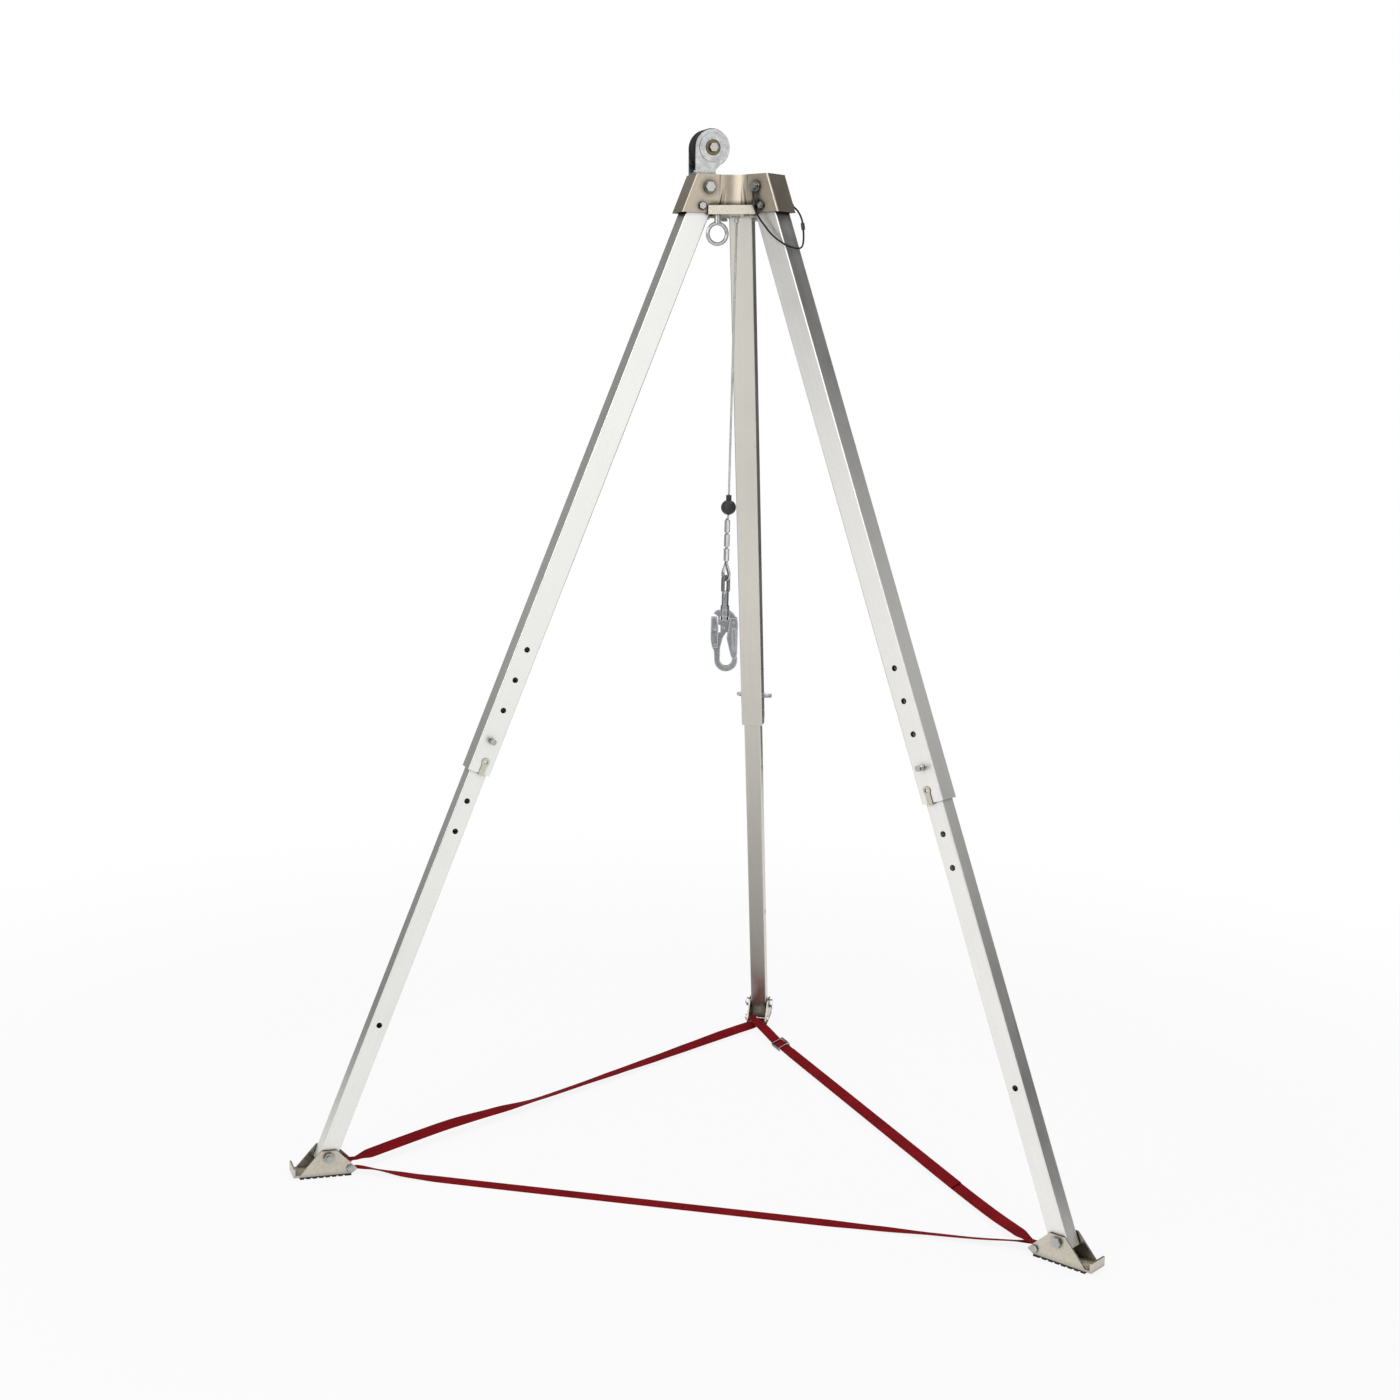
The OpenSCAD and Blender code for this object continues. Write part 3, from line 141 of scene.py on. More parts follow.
# Materials
class Shader:
    """A material and short ways to add nodes to it."""

    def __init__(self, name):
        self.material = bpy.data.materials.new(name)
        self.material.use_nodes = True
        self.tree = self.material.node_tree
        self.surface = self.tree.nodes["Principled BSDF"]

    def add(self, kind, inputs=None, **settings):
        made = self.tree.nodes.new(kind)
        for key, value in settings.items():
            setattr(made, key, value)
        for key, value in (inputs or {}).items():
            self.feed(made, key, value)
        return made

    def feed(self, node, key, value):
        if isinstance(value, bpy.types.NodeSocket):
            self.tree.links.new(value, node.inputs[key])
        else:
            node.inputs[key].default_value = value

    def set(self, **values):
        for key, value in values.items():
            self.feed(self.surface, key.replace("_", " "), value)

    def replace_surface(self, shader):
        """Puts another shader in the place of the first one."""
        self.tree.nodes.remove(self.surface)
        self.tree.links.new(shader, self.tree.nodes["Material Output"].inputs["Surface"])

    def math(self, operation, first, second):
        return self.add("ShaderNodeMath", {0: first, 1: second}, operation=operation).outputs[0]

    def place(self, axis=None, squeeze=1.0):
        """Object coordinates, squeezed along an axis so that a texture runs along it."""
        at = self.add("ShaderNodeTexCoord").outputs["Object"]
        if axis is None:
            return at
        along = self.add("ShaderNodeVectorMath", {0: at, 1: axis}, operation="DOT_PRODUCT").outputs["Value"]
        less = self.math("MULTIPLY", along, squeeze - 1)
        move = self.add("ShaderNodeVectorMath", {0: axis, "Scale": less}, operation="SCALE").outputs[0]
        return self.add("ShaderNodeVectorMath", {0: at, 1: move}, operation="ADD").outputs[0]

    def noise(self, at, scale, detail, rough):
        inputs = {"Vector": at, "Scale": scale, "Detail": detail, "Roughness": rough}
        return self.add("ShaderNodeTexNoise", inputs).outputs["Fac"]

    def waves(self, at, scale, direction, **inputs):
        inputs = {"Vector": at, "Scale": scale, **{key.replace("_", " "): v for key, v in inputs.items()}}
        return self.add("ShaderNodeTexWave", inputs, bands_direction=direction).outputs["Fac"]

    def sum(self, *parts):
        """The weighted sum of values, each given as a value and its weight."""
        total = None
        for value, weight in parts:
            part = self.math("MULTIPLY", value, weight)
            total = part if total is None else self.math("ADD", total, part)
        return total

    def ramp(self, value, *stops):
        made = self.add("ShaderNodeValToRGB", {"Fac": value})
        band = made.color_ramp
        while len(band.elements) < len(stops):
            band.elements.new(0.5)
        for element, (at, colour) in zip(band.elements, stops):
            element.position = at
            element.color = (*colour, 1)
        return made.outputs["Color"]

    def span(self, value, low, high, start=0.3, end=0.7, **settings):
        """A value from low to high as the given one goes from start to end."""
        inputs = {"Value": value, "From Min": start, "From Max": end, "To Min": low, "To Max": high}
        return self.add("ShaderNodeMapRange", inputs, **settings).outputs["Result"]

    def mix(self, share, first, second):
        return self.add("ShaderNodeMix", {0: share, 6: first, 7: second}, data_type="RGBA").outputs[2]

    def blend(self, share, first, second):
        return self.add("ShaderNodeMixShader", {0: share, 1: first, 2: second}).outputs[0]

    def bump(self, height, distance, strength=0.6):
        made = self.add("ShaderNodeBump", {"Height": height, "Distance": distance, "Strength": strength})
        self.tree.links.new(made.outputs["Normal"], self.surface.inputs["Normal"])

    def edges(self, width):
        """A value that is near 1 on outer and inner edges and 0 on flat faces."""
        soft = self.add("ShaderNodeBevel", {"Radius": width}, samples=6).outputs["Normal"]
        hard = self.add("ShaderNodeNewGeometry").outputs["Normal"]
        same = self.add("ShaderNodeVectorMath", {0: soft, 1: hard}, operation="DOT_PRODUCT").outputs["Value"]
        return self.span(same, 1.0, 0.0, *EDGE_SPAN)

    def glow(self, colour):
        return self.add("ShaderNodeEmission", {"Color": colour, "Strength": 1.0}).outputs[0]

    def seen_rays(self):
        """1 for rays that show the background: straight to the camera, reflected or through glass."""
        path = self.add("ShaderNodeLightPath").outputs
        some = self.math("MAXIMUM", path["Is Camera Ray"], path["Is Glossy Ray"])
        return self.math("MAXIMUM", some, path["Is Transmission Ray"])


# Noises: scale, detail and roughness
METAL_CLOUD = (9.0, 4.0, 0.55)
METAL_SPOTS = (160.0, 2.0, 0.5)
PLASTIC_CLOUD = (30.0, 3.0, 0.5)
WEB_FUZZ = (900.0, 3.0, 0.7)
WEB_CLOUD = (14.0, 3.0, 0.5)
# Texture scales of the ribs across the webbing and of the yarns along it
RIB_SCALE = 170.0
YARN_SCALE = 118.0
# Where the dark, middle and light tones lie on the mixed noise of a material
METAL_STOPS = (0.36, 0.5, 0.64)
PLASTIC_STOPS = (0.35, 0.5, 0.66)
WEB_STOPS = (0.3, 0.5, 0.72)
PLASTIC_SPREAD = 0.35
# How dark the painted shade in corners is, as a share of a metal's dark tone
PAINTED_SHADE_SHARE = 0.16
WEB_TONES = ((0.10, 0.001, 0.003), (0.22, 0.002, 0.006), (0.36, 0.006, 0.012))


def tones(red, green, blue, spread):
    return [tuple(x * k for x in (red, green, blue)) for k in (1 - spread, 1.0, 1 + spread)]


def metal(name, shades, rough, grain, bump, axis=None, squeeze=0.02, edge_wear_and_highlight=(0.0012, 0.5),
          bare_and_highlight=(0.8, 0.8, 0.78), corner_shade=(0.012, 0.25), shade=(0.35, 0.9)):
    """Metal with grain along an axis, lighter edges that are partly wear and partly a painted highlight, and
    painted shade in the corners.

    The arguments give the width and the strength of the lighter edges, how far the painted shade reaches
    from a corner and how light a place stays at its darkest, and how open a place is where the painted
    shade is full and where it is gone.
    """
    made = Shader(name)
    lines = made.noise(made.place(axis, squeeze), grain, 4.0, 0.6)
    cloud = made.noise(made.place(), *METAL_CLOUD)
    spots = made.noise(made.place(), *METAL_SPOTS)
    mixed = made.sum((lines, 0.5), (cloud, 0.35), (spots, 0.15))
    colour = made.ramp(mixed, *zip(METAL_STOPS, shades))
    # Lighter edges: partly rubbed wear, partly a painted highlight
    wear_and_highlight = made.math("MULTIPLY", made.edges(edge_wear_and_highlight[0]), edge_wear_and_highlight[1])
    # Painted shade: corners, recesses and rings round bolts darken by their ambient occlusion
    open_air = made.add("ShaderNodeAmbientOcclusion", {"Distance": corner_shade[0]}, samples=8).outputs["AO"]
    unshaded = made.span(open_air, corner_shade[1], 1.0, *shade)
    painted_shade_tone = tuple(x * PAINTED_SHADE_SHARE for x in shades[0])
    made.set(Base_Color=made.mix(unshaded, (*painted_shade_tone, 1), made.mix(wear_and_highlight, colour, (*bare_and_highlight, 1))), Metallic=1.0)
    made.set(Roughness=made.span(mixed, rough[0], rough[1], METAL_STOPS[0], METAL_STOPS[2]))
    made.bump(lines, bump)
    return made.material


def plastic(name, tint, rough, scale, bump):
    made = Shader(name)
    grain = made.noise(made.place(), scale, 3.0, 0.6)
    cloud = made.noise(made.place(), *PLASTIC_CLOUD)
    mixed = made.sum((grain, 0.6), (cloud, 0.4))
    made.set(Base_Color=made.ramp(mixed, *zip(PLASTIC_STOPS, tones(*tint, PLASTIC_SPREAD))))
    made.set(Roughness=made.span(mixed, rough[0], rough[1]), Specular_IOR_Level=0.3)
    made.bump(grain, bump)
    return made.material


def webbing(name):
    """Woven polyester: ribs across, yarn columns along, and some fuzz."""
    made = Shader(name)
    at = made.add("ShaderNodeTexCoord").outputs["UV"]
    ribs = made.waves(at, RIB_SCALE, "X", Distortion=0.6, Detail=2.0, Detail_Scale=2.0)
    yarns = made.waves(at, YARN_SCALE, "Y", Distortion=0.3)
    fuzz = made.noise(at, *WEB_FUZZ)
    cloud = made.noise(at, *WEB_CLOUD)
    weave = made.sum((ribs, 0.4), (yarns, 0.35), (fuzz, 0.25))
    shade = made.sum((weave, 0.6), (cloud, 0.4))
    made.set(Base_Color=made.ramp(shade, *zip(WEB_STOPS, WEB_TONES)))
    made.set(Roughness=made.span(weave, 0.95, 0.7), Specular_IOR_Level=0.12)
    made.bump(weave, 0.0003, 0.8)
    return made.material


slot_materials = {
    # head_metal: flutes, corners and bolt rings darkened as painted shade, edges lightened partly as a
    # painted highlight
    "head_metal": metal("head_metal", tones(0.52, 0.457, 0.366, 0.10), rough=(0.30, 0.44), grain=700.0,
                        bump=0.00005, edge_wear_and_highlight=(0.0022, 0.65), bare_and_highlight=(0.84, 0.79, 0.70), corner_shade=(0.016, 0.05),
                        shade=(0.78, 0.95)),
    "zinc_plate": metal("zinc_plate", tones(0.60, 0.56, 0.47, 0.16), rough=(0.26, 0.46), grain=260.0,
                        bump=0.00005, edge_wear_and_highlight=(0.0010, 0.6), bare_and_highlight=(0.86, 0.84, 0.78), corner_shade=(0.02, 0.1)),
    "bolt_steel": metal("bolt_steel", tones(0.46, 0.46, 0.455, 0.28), rough=(0.12, 0.30), grain=500.0,
                        bump=0.00003, edge_wear_and_highlight=(0.0008, 0.7), bare_and_highlight=(0.92, 0.92, 0.90), corner_shade=(0.008, 0.0)),
    # hook_steel: its broad bright edges are a painted highlight
    "hook_steel": metal("hook_steel", tones(0.33, 0.345, 0.36, 0.28), rough=(0.20, 0.40), grain=300.0,
                        bump=0.00008, edge_wear_and_highlight=(0.0048, 1.0), bare_and_highlight=(0.97, 0.98, 0.99), corner_shade=(0.010, 0.0)),
    "cable_steel": metal("cable_steel", tones(0.78, 0.78, 0.77, 0.22), rough=(0.22, 0.40), grain=600.0,
                         bump=0.00004, edge_wear_and_highlight=(0.0006, 0.7), bare_and_highlight=(0.96, 0.96, 0.95), corner_shade=(0.003, 0.0)),
    # brass_part: darkened as painted shade of the recess round the nut
    "brass_part": metal("brass_part", tones(0.20, 0.165, 0.09, 0.25), rough=(0.22, 0.40), grain=420.0,
                        bump=0.00004, edge_wear_and_highlight=(0.0006, 0.5), bare_and_highlight=(0.52, 0.44, 0.26), corner_shade=(0.016, 0.0)),
    "ball_grey": plastic("ball_grey", (0.045, 0.045, 0.046), rough=(0.38, 0.55), scale=700.0, bump=0.0001),
    "black_plastic": plastic("black_plastic", (0.008, 0.008, 0.008), rough=(0.40, 0.60), scale=800.0,
                             bump=0.0001),
    "sole_rubber": plastic("sole_rubber", (0.03, 0.028, 0.025), rough=(0.7, 0.9), scale=500.0, bump=0.0003),
    "red_webbing": webbing("red_webbing"),
}
pulley_steel = metal("pulley_steel", tones(0.56, 0.565, 0.565, 0.42), rough=(0.22, 0.46), grain=90.0,
                     bump=0.00008, edge_wear_and_highlight=(0.0010, 0.5), bare_and_highlight=(0.90, 0.90, 0.88), corner_shade=(0.010, 0.0))
ferrule_metal = metal("ferrule_metal", tones(0.06, 0.058, 0.055, 0.3), rough=(0.3, 0.5), grain=500.0,
                      bump=0.00004, edge_wear_and_highlight=(0.0006, 0.4), bare_and_highlight=(0.4, 0.4, 0.39), corner_shade=(0.004, 0.0))
# One aluminium for the three legs; the rear tube's darker, warmer tint is painted shade
TUBE_TINT_WITH_PAINTED_SHADE = {"left": (0.84, 0.84, 0.81), "right": (0.86, 0.85, 0.82), "rear": (0.69, 0.665, 0.61)}
tube_materials = {
    leg: metal("tube_metal_" + leg, tones(*tint, 0.05), rough=(0.28, 0.42), grain=420.0, bump=0.00006,
               axis=leg_axis(leg), squeeze=0.012, edge_wear_and_highlight=(0.001, 0.3), bare_and_highlight=(0.9, 0.9, 0.88),
               corner_shade=(0.03, 0.3))
    for leg, tint in TUBE_TINT_WITH_PAINTED_SHADE.items()
}

for sub in frame["record"]["subparts"]:
    name, slot = sub["node"], sub["material_slot"]
    dress(nodes[name], tube_materials[name.split("_")[0]] if slot == "tube_metal" else slot_materials[slot])
dress(nodes["pulley_bracket"], pulley_steel)
dress(nodes["anchor_plate"], slot_materials["zinc_plate"])
for name in ("pin_ferrule", "tie_ferrule"):
    dress(nodes[name], ferrule_metal)


# Routes and the tubes along them
def curve_through(points, step):
    """A smooth line through the points, with stations about a step apart."""
    line = []
    last = len(points) - 1
    for i in range(last):
        a, b = points[i], points[i + 1]
        before = points[i - 1] if i else a * 2 - b
        after = points[i + 2] if i + 2 <= last else b * 2 - a
        reach = (b - a).length
        start = (b - before) * (reach / max((b - before).length, 1e-9))
        end = (after - a) * (reach / max((after - a).length, 1e-9))
        count = max(1, round(reach / step))
        for j in range(count):
            t = j / count
            line.append(a * (2 * t**3 - 3 * t**2 + 1) + start * (t**3 - 2 * t**2 + t)
                        + b * (3 * t**2 - 2 * t**3) + end * (t**3 - t**2))
    return line + [points[last].copy()]


def carried(line):
    """Each point of a line with two cross directions, which turn as little as possible along it."""
    frames = []
    side = None
    for i, at in enumerate(line):
        along = (line[min(i + 1, len(line) - 1)] - line[max(i - 1, 0)]).normalized()
        if side is None:
            side = along.orthogonal()
        side = (side - along * side.dot(along)).normalized()
        frames.append((at, side, along.cross(side)))
    return frames


def tube(shape, rings):
    """Adds a closed tube through rings of points, and gives its wall faces ring by ring."""
    rows = [[shape.verts.new(p) for p in ring] for ring in rings]
    walls = []
    for low, high in zip(rows, rows[1:]):
        for j in range(len(low)):
            k = (j + 1) % len(low)
            walls.append(shape.faces.new((low[j], low[k], high[k], high[j])))
            walls[-1].smooth = True
    shape.faces.new(reversed(rows[0]))
    shape.faces.new(rows[-1])
    return walls


def skin(name, rings, slot, uvs=None):
    """A piece that is one closed tube, with optional texture places for each ring point."""
    shape = bmesh.new()
    layer = shape.loops.layers.uv.new("UVMap") if uvs else None
    walls = tube(shape, rings)
    count = len(rings[0])
    for n, face in enumerate(walls if uvs else []):
        i, j = divmod(n, count)
        k = (j + 1) % count
        for loop, (row, column) in zip(face.loops, ((i, j), (i, k), (i + 1, k), (i + 1, j))):
            loop[layer].uv = uvs[row][column]
    bmesh.ops.recalc_face_normals(shape, faces=shape.faces)
    made = to_object(name, shape)
    dress(made, slot_materials[slot])
    return made


# Lifting cable: six strands laid round the line
STRANDS = 6
STRAND_R = ROPE_R / 3
STRAND_OUT = ROPE_R * 2 / 3
STRAND_SIDES = 6
STRAND_OVAL = 1.12
ROPE_LAY = 0.03
ROPE_STEP = 0.0025
FALL_STOPS = 7
BEND_STOPS = 16


def rope_point(x, z):
    return Vector((x * cos(ROPE_TURN), x * sin(ROPE_TURN), HOOK_Z + z))


def rope_route():
    """Down from the plate, round the thimble and up through the sleeves."""
    corners = [rope_point(-ROPE_HALF, ROPE_TOP + (ROPE_LOW - ROPE_TOP) * i / FALL_STOPS)
               for i in range(FALL_STOPS + 1)]
    for i in range(BEND_STOPS + 1):
        angle = radians(180 - THIMBLE_FLANK + (180 + 2 * THIMBLE_FLANK) * i / BEND_STOPS)
        corners.append(rope_point(THIMBLE_BEND * cos(angle), THIMBLE_Z + THIMBLE_BEND * sin(angle)))
    return corners + [rope_point(ROPE_HALF, z) for z in (ROPE_LOW, PRESS_TOP, PRESS_TOP + ROPE_TAIL)]


def strand_rings(line, first_turn):
    """The rings of one strand, which winds round the line once in each lay."""
    rings = []
    run = 0.0
    for i, (at, side, across) in enumerate(carried(line)):
        if i:
            run += (line[i] - line[i - 1]).length
        turn = 2 * pi * (first_turn + run / ROPE_LAY)
        outward = side * cos(turn) + across * sin(turn)
        around = across * cos(turn) - side * sin(turn)
        rings.append([at + outward * (STRAND_OUT + STRAND_R * cos(2 * pi * j / STRAND_SIDES))
                      + around * (STRAND_R * STRAND_OVAL * sin(2 * pi * j / STRAND_SIDES))
                      for j in range(STRAND_SIDES)])
    return rings


def make_rope(line):
    shape = bmesh.new()
    for s in range(STRANDS):
        tube(shape, strand_rings(line, s / STRANDS))
    bmesh.ops.recalc_face_normals(shape, faces=shape.faces)
    return to_object("cable_strands", shape)


rope_line = curve_through(rope_route(), ROPE_STEP)
rope = make_rope(rope_line)
dress(rope, slot_materials["cable_steel"])
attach(rope, "head")
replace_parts(rope, "lift_cable")

# Lanyard of the release pin: outward, across and up from the right leg's pivot, in millimetres
LANYARD_ROUTE = [
    (0, -41, -10), (1, -41.5, -20), (3, -42, -34), (6, -42, -48), (17, -40, -67), (31, -38, -84),
    (46, -37, -100), (64, -35, -114), (80, -31, -124), (87, -20, -129), (90, -5, -131), (89, 10, -130),
    (85, 24, -124), (80, 34, -113), (76, 39, -98), (73, 40, -82), (69, 40, -66), (62, 39, -53),
    (54, 38, -44), (46, 38, -39),
]
LANYARD_STEP = 0.004
LANYARD_SIDES = 10


def right_arm(out, across, up):
    at = radial("right") * (PIVOT_R + out / MM_PER_M) + tangent("right") * (across / MM_PER_M)
    return at + UP * (PIVOT_Z + up / MM_PER_M)


lanyard_line = curve_through([right_arm(*p) for p in LANYARD_ROUTE], LANYARD_STEP)
lanyard_angles = [2 * pi * j / LANYARD_SIDES for j in range(LANYARD_SIDES)]
lanyard_rings = [[at + (side * cos(a) + across * sin(a)) * CORD_R for a in lanyard_angles]
                 for at, side, across in carried(lanyard_line)]
lanyard = skin("lanyard_cord", lanyard_rings, "black_plastic")
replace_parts(lanyard, "lanyard")
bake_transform(lanyard)

# Straps: share of the span, height above the floor in millimetres and roll of the webbing in degrees
STRAP_HEIGHT = 12
STRAP_ROLL = 25
BUCKLE_HEIGHT = 13
BUCKLE_STOP = 0.025
FRONT_ROUTE = [
    (0.03, 10, -20), (0.08, 5, 0), (0.13, 3.4, 8), (0.3, 3.2, 9), (0.5, 3.2, 9), (0.7, 3.2, 9),
    (0.78, 3.6, 0), (0.86, 4.6, -14), (0.92, 6, -18), (0.97, 10, -20),
]
LEFT_REAR_ROUTE = [
    (0.03, 23, 26), (0.1, 25, 28), (0.2, 26, 28), (0.3, 20, 15), (0.4, 13, -12), (0.5, 12, -10),
    (0.6, 12, 0), (0.7, 12, 10), (0.8, 13, 20), (0.9, 14, 30), (0.97, 13, 30),
]
REAR_RIGHT_ROUTE = [
    (0.03, 22, 20), (0.08, 17, STRAP_ROLL), (BUCKLE_AT - BUCKLE_STOP, BUCKLE_HEIGHT, STRAP_ROLL),
    (BUCKLE_AT + BUCKLE_STOP, BUCKLE_HEIGHT, STRAP_ROLL),
    *((share, STRAP_HEIGHT, STRAP_ROLL) for share in (0.2, 0.35, 0.5, 0.65, 0.79)),
    (0.9, 15, STRAP_ROLL), (0.97, 21, 20),
]
TAIL_SHARES = (0.175, 0.3, 0.4, 0.5, 0.6, 0.7, 0.79)
WRAP_ANGLES = range(-140, -361, -10)
STRAP_STEP = 0.006
# Half of the webbing's section, in shares of its half width and half thickness: a thin rim and a firm edge
WEB_TOP = [(-1, 0.35), (-0.9, 1), (-0.45, 0.9), (0.45, 0.9), (0.9, 1), (1, 0.35)]
WEB_PROFILE = WEB_TOP + [(-x, -y) for x, y in WEB_TOP]
# Distances along the span from a foot where the strap goes over from one body to the next
FOOT_START, FOOT_END, LOWER_END, UPPER_END = 0.002, 0.024, 0.052, 0.520
# A distance before the span that takes in the whole loop round the bolt
LOOP_REACH = 0.1
# Half the buckle's stretch of strap, as a share of the span
BUCKLE_HALF = 0.022


def bolt_place(leg, side):
    return radial(leg) * (FOOT_R - STRAP_IN) + tangent(leg) * side * STRAP_APART + UP * STRAP_UP


def wrap(leg, side, over):
    """Stations round the strap bolt: place, width direction and width."""
    made = []
    for a in WRAP_ANGLES:
        t = radians(a)
        at = bolt_place(leg, side) + radial(leg) * WRAP_R * sin(t) + UP * over * WRAP_R * cos(t)
        made.append((at, -tangent(leg), WEB_GATHER))
    return made


def lead(leg, side, over):
    return bolt_place(leg, side) - radial(leg) * WEB_LEAD + UP * over * WRAP_R


class Strap:
    """One strap between two feet, as stations from its first foot to its second."""

    def __init__(self, name, first, second, route):
        self.name = name
        self.legs = (first[0], second[0])
        self.start, self.end = lead(*first), lead(*second)
        flat = Vector((self.end.x - self.start.x, self.end.y - self.start.y, 0))
        self.along, self.reach = flat.normalized(), flat.length
        self.side = UP.cross(self.along)
        span = [(self.start, -tangent(first[0]), WEB_GATHER)]
        span += [self.station(*stop) for stop in route]
        span.append((self.end, tangent(second[0]), WEB_GATHER))
        back = [(at, -across, wide) for at, across, wide in reversed(wrap(*second))]
        self.stations = wrap(*first) + self.smooth(span) + back

    def station(self, share, height, roll):
        at = self.start + self.along * self.reach * share
        across = self.side * cos(radians(roll)) + UP * sin(radians(roll))
        return (Vector((at.x, at.y, height / MM_PER_M)), across, WEB_W)

    def smooth(self, stops):
        """More stations between the given ones, on one smooth line."""
        places = curve_through([s[0] for s in stops], STRAP_STEP)
        run = [0.0]
        for a, b in zip(stops, stops[1:]):
            run.append(run[-1] + max(1, round((b[0] - a[0]).length / STRAP_STEP)))
        made = []
        for i, at in enumerate(places):
            k = max(j for j in range(len(stops) - 1) if run[j] <= i)
            t = (i - run[k]) / (run[k + 1] - run[k])
            ease = t * t * (3 - 2 * t)
            across = stops[k][1].lerp(stops[k + 1][1], ease)
            made.append((at, across, stops[k][2] + (stops[k + 1][2] - stops[k][2]) * ease))
        return made

    def far(self, at):
        """How far a place is along the span."""
        return (at - self.start).dot(self.along)

    def at(self, distance):
        return self.start + self.along * distance

    def piece(self, name, stations):
        """A closed length of webbing."""
        rings, uvs = [], []
        last = len(stations) - 1
        for i, (at, across, wide) in enumerate(stations):
            along = (stations[min(i + 1, last)][0] - stations[max(i - 1, 0)][0]).normalized()
            face = along.cross(across).normalized()
            width = face.cross(along)
            half, thick = wide / 2, WEB_T / 2
            rings.append([at + width * x * half + face * y * thick for x, y in WEB_PROFILE])
            uvs.append([(self.far(at), x * half) for x, y in WEB_PROFILE])
        return skin(name, rings, "red_webbing", uvs)

    def cut(self, low, high, stations=None):
        """The stations from one distance to another, with one on each cut."""
        kept = []
        stations = stations or self.stations
        for i, (at, across, wide) in enumerate(stations):
            far = self.far(at)
            if i:
                from_at, from_across, from_wide = stations[i - 1]
                start = self.far(from_at)
                for edge in (low, high):
                    if start < edge < far:
                        t = (edge - start) / (far - start)
                        kept.append((from_at.lerp(at, t), from_across.lerp(across, t),
                                     from_wide + (wide - from_wide) * t))
            if low <= far <= high:
                kept.append((at, across, wide))
        return kept

    def bodies(self):
        first, second = self.legs
        return [first + "_foot", first + "_lower", first + "_upper", "head",
                second + "_upper", second + "_lower", second + "_foot"]

    def build(self, gap=None):
        """Lengths from foot to lower tube, upper tube and head, and down the other leg; gives the first."""
        far = self.reach
        names = self.bodies()
        marks = [(-LOOP_REACH, FOOT_END, FOOT_START, FOOT_END), (FOOT_END, LOWER_END, FOOT_END, LOWER_END),
                 (LOWER_END, far / 2, LOWER_END, UPPER_END)]
        marks += [(far - b, far - a, far - d, far - c) for a, b, c, d in reversed(marks)]
        made = []
        for i, (low, high, start, end) in enumerate(marks):
            label = f"{self.name}_{i + 1}"
            if gap and low < gap[0] < high:
                self.split(label, names[i], names[i + 1], (low, high, start, end), gap)
                continue
            piece = self.piece(label, self.cut(low, high))
            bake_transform(piece)
            made.append(piece)
        return made[0]

    def split(self, label, first, second, mark, gap):
        """A length cut in three, with a separate stretch in its middle where the buckle holds it."""
        low, high, start, end = mark
        share = ((gap[0] + gap[1]) / 2 - start) / (end - start)
        before, after = self.before(start, gap, share), self.after(end, gap, share)
        for tag, (a, b, c, d) in zip("ab", [(low, gap[0], *before), (gap[1], high, *after)]):
            piece = self.piece(f"{label}{tag}", self.cut(a, b))
            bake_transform(piece)
        held = self.piece(f"{label}_held", self.cut(*gap))
        self.hold(held)

    def before(self, start, gap, share):
        return start, start + (gap[0] - start) / share

    def after(self, end, gap, share):
        return (gap[1] - share * end) / (1 - share), end

    def hold(self, piece):
        """Bakes a piece's place into its mesh; the piece is not moved."""
        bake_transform(piece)


# Each end of a strap is a leg, a side of its bolt, and whether it leaves over or under the bolt
front = Strap("front_web", ("left", 1, -1), ("right", 1, -1), FRONT_ROUTE)
left_rear = Strap("left_rear_web", ("left", -1, 1), ("rear", -1, -1), LEFT_REAR_ROUTE)
rear_right = Strap("rear_right_web", ("rear", 1, 1), ("right", -1, 1), REAR_RIGHT_ROUTE)
buckle_gap = ((BUCKLE_AT - BUCKLE_HALF) * rear_right.reach, (BUCKLE_AT + BUCKLE_HALF) * rear_right.reach)
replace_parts(front.build(), "front_strap")
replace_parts(left_rear.build(), "left_rear_strap")
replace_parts(rear_right.build(buckle_gap), "right_rear_strap")

# The tail that comes back from the buckle on top of the strap
tail_stops = [rear_right.station(share, STRAP_HEIGHT, STRAP_ROLL) for share in TAIL_SHARES]
tail_up = tail_stops[0][1].cross(rear_right.along).normalized()
tail_up = tail_up if tail_up.z > 0 else -tail_up
tail_stations = rear_right.smooth([(at + tail_up * TAIL_LIFT, across, wide)
                                   for at, across, wide in tail_stops])
half_way = rear_right.reach / 2
tail_near = rear_right.piece("tail_near", rear_right.cut(0, half_way, tail_stations))
tail_far = rear_right.piece("tail_far", rear_right.cut(half_way, rear_right.reach, tail_stations))
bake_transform(tail_near)
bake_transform(tail_far)

# Buckle: two sides, two bars above the strap and one below it
# How far a bar runs into the sides, both ends together
BUCKLE_SINK = 0.002
BUCKLE_ROUND = 0.0007


def bar(shape, centre, size):
    made = bmesh.ops.create_cube(shape, size=1.0)
    bmesh.ops.scale(shape, vec=size, verts=made["verts"])
    bmesh.ops.translate(shape, vec=centre, verts=made["verts"])


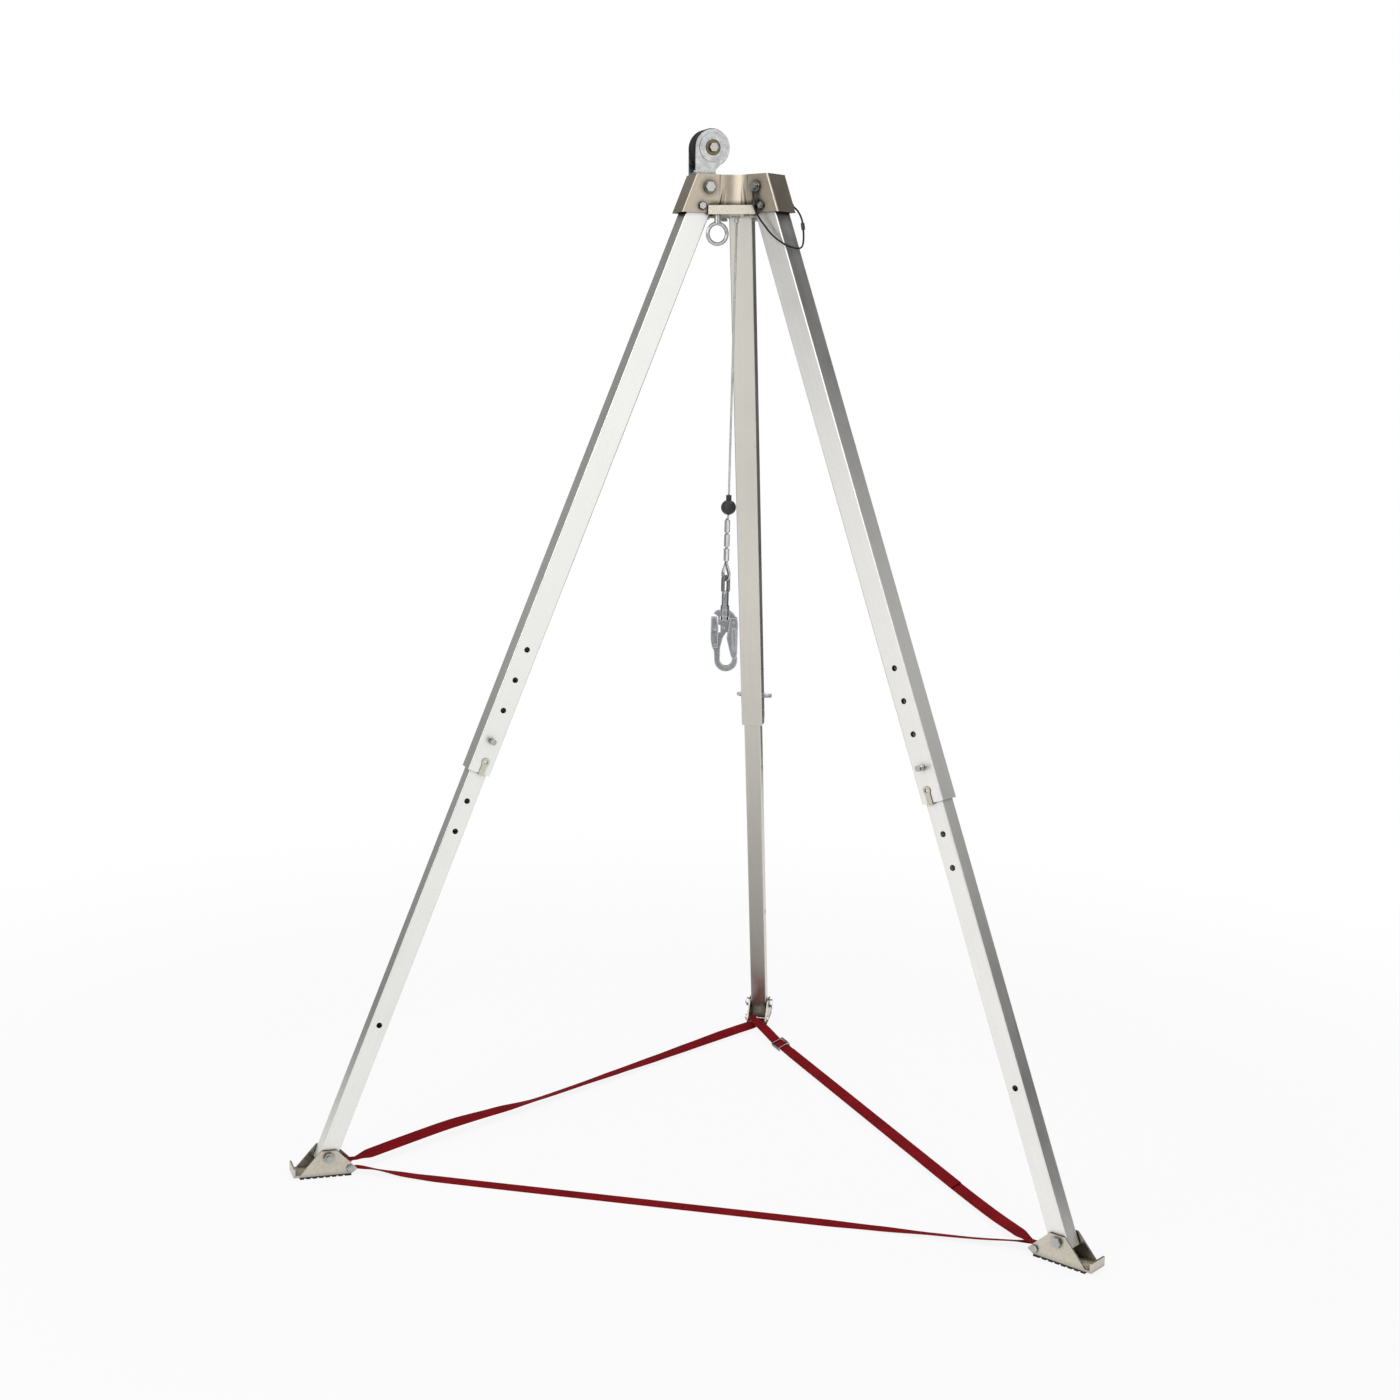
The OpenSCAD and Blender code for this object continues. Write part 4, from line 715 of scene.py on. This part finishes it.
def make_buckle():
    shape = bmesh.new()
    deep = 2 * (BUCKLE_RISE + BUCKLE_T)
    cross = 2 * BUCKLE_IN + BUCKLE_SINK
    for side in (-1, 1):
        bar(shape, (0, side * (BUCKLE_IN + BUCKLE_T / 2), 0), (BUCKLE_L, BUCKLE_T, deep))
    for end in (-1, 1):
        x = end * (BUCKLE_L - BUCKLE_T) / 2
        bar(shape, (x, 0, BUCKLE_RISE + BUCKLE_T / 2), (BUCKLE_T, cross, BUCKLE_T))
    bar(shape, (0, 0, -BUCKLE_RISE - BUCKLE_T / 2), (BUCKLE_T, cross, BUCKLE_T))
    bmesh.ops.bevel(shape, geom=shape.edges[:], offset=BUCKLE_ROUND, segments=3, affect="EDGES", profile=0.6)
    for face in shape.faces:
        face.smooth = True
    made = to_object("buckle_frame", shape)
    at = rear_right.station(BUCKLE_AT, BUCKLE_HEIGHT, STRAP_ROLL)[0]
    turn = atan2(rear_right.along.y, rear_right.along.x)
    made.matrix_world = (Matrix.Translation(at) @ Matrix.Rotation(turn, 4, "Z")
                         @ Matrix.Rotation(radians(STRAP_ROLL), 4, "X"))
    return made


buckle = make_buckle()
dress(buckle, slot_materials["bolt_steel"])
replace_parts(buckle, "strap_buckle")
rear_right.hold(buckle)

# Stage: the floor is white to the eye, and keeps a soft shadow near the object
FLOOR_HALF = 60
FLOOR_TONE = (0.9, 0.9, 0.9, 1)
WHITE = (1, 1, 1, 1)
SHADOW_NEAR, SHADOW_FAR = 1.2, 3.4
SHADOW_WHITE = 0.88
WORLD_LIGHT = 0.45
# Cards out of sight that the metal mirrors: name, centre, turn, lean, width and height, and a grey at each
# share of the height
CARDS = (
    ("card_left", (-1.9, 1.3, 1.75), 90, 90, (4.0, 3.5), ((0, 0.20), (0.4, 0.36), (0.8, 0.22), (1, 0.28))),
    ("card_right", (2.7, 0.9, 2.6), -90, 90, (4.2, 5.2),
     ((0, 0.03), (0.1, 0.12), (0.34, 0.54), (0.46, 0.42), (0.6, 0.1), (0.7, 0.02), (1, 0.02))),
    ("card_front_left", (-2.7, -1.6, 2.85), 90, 90, (2.4, 2.3),
     ((0, 0.95), (0.13, 0.55), (0.22, 0.43), (1, 0.38))),
    ("card_front", (0, -7.6, 2.6), 180, 90, (9.0, 5.0), ((0, 0.6), (0.33, 0.3), (1, 0.3))),
    ("card_back", (0, 4.2, 1.9), 0, 90, (8.0, 3.8), ((0, 0.08), (1, 0.08))),
    ("card_floor", (-0.15, 0.28, 0.003), 0, 0, (0.6, 1.2), ((0, 0.9), (0.5, 0.55), (1, 0.34))),
)
# Lamps: name, place, aim, size in metres and power in watts
LAMPS = (
    ("key", (-2.4, -5.2, 4.0), (0, 0, 1.1), 4.0, 110),
    ("fill", (3.2, -5.0, 2.6), (0, 0, 1.0), 4.0, 16),
    ("top", (0.3, 1.0, 5.2), (0, 0, 1.4), 3.0, 60),
)
# The camera's turn, pitch and roll in degrees, its place, lens and shift
CAMERA_ANGLES = (14.211, -6.64, 0.906)
CAMERA_PLACE = (0.6164, -4.3996, 1.7211)
CAMERA_LENS = 51.595
CAMERA_SHIFT = (0.1378, -0.065)


def make_floor():
    shape = bmesh.new()
    bmesh.ops.create_grid(shape, x_segments=1, y_segments=1, size=FLOOR_HALF)
    floor = to_object("floor", shape)
    floor.location.z = cad_low.z
    made = Shader("floor_white")
    far = made.add("ShaderNodeVectorMath", {0: made.place()}, operation="LENGTH").outputs["Value"]
    share = made.span(far, SHADOW_WHITE, 1.0, SHADOW_NEAR, SHADOW_FAR, interpolation_type="SMOOTHSTEP")
    lit = made.add("ShaderNodeBsdfDiffuse", {"Color": FLOOR_TONE}).outputs[0]
    pale = made.blend(share, lit, made.glow(WHITE))
    made.replace_surface(made.blend(made.seen_rays(), lit, pale))
    dress(floor, made.material)


class WorldShader(Shader):
    def __init__(self, name):
        scene.world = bpy.data.worlds.new(name)
        scene.world.use_nodes = True
        self.tree = scene.world.node_tree
        self.surface = self.tree.nodes["Background"]


def make_world():
    made = WorldShader("studio")
    made.set(Color=WHITE, Strength=made.span(made.seen_rays(), WORLD_LIGHT, 1.0, 0.0, 1.0))


def make_card(name, centre, turn, lean, size, stops):
    wide, high = size
    shape = bmesh.new()
    bmesh.ops.create_grid(shape, x_segments=1, y_segments=1, size=0.5)
    bmesh.ops.scale(shape, vec=(wide, high, 1), verts=shape.verts)
    made = to_object(name, shape)
    made.matrix_world = (Matrix.Translation(centre) @ Matrix.Rotation(radians(turn), 4, "Z")
                         @ Matrix.Rotation(radians(lean), 4, "X"))
    paint = Shader(name)
    height = paint.add("ShaderNodeSeparateXYZ", {0: paint.place()}).outputs["Y"]
    share = paint.span(height, 0.0, 1.0, -high / 2, high / 2)
    paint.replace_surface(paint.glow(paint.ramp(share, *((at, (grey, grey, grey)) for at, grey in stops))))
    dress(made, paint.material)
    made.visible_camera = False
    made.visible_diffuse = False
    made.visible_shadow = False


def make_lamp(name, place, aim, size, power):
    data = bpy.data.lights.new(name, "AREA")
    data.shape = "SQUARE"
    data.size = size
    data.energy = power
    lamp = link(name, data)
    lamp.location = place
    lamp.rotation_euler = (Vector(aim) - Vector(place)).to_track_quat("-Z", "Y").to_euler()


def make_camera():
    turn, pitch, roll = (radians(a) for a in CAMERA_ANGLES)
    forward = Vector((-sin(turn) * cos(pitch), cos(turn) * cos(pitch), sin(pitch)))
    level = forward.cross(UP).normalized()
    upright = level.cross(forward)
    right = level * cos(roll) + upright * sin(roll)
    above = upright * cos(roll) - level * sin(roll)
    data = bpy.data.cameras.new("camera")
    data.lens = CAMERA_LENS
    data.shift_x, data.shift_y = CAMERA_SHIFT
    camera = link("camera", data)
    camera.matrix_world = (Matrix.Translation(CAMERA_PLACE)
                           @ Matrix((right, above, -forward)).transposed().to_4x4())
    scene.camera = camera


make_floor()
make_world()
for card in CARDS:
    make_card(*card)
for lamp in LAMPS:
    make_lamp(*lamp)
make_camera()
scene.view_settings.view_transform = "Standard"
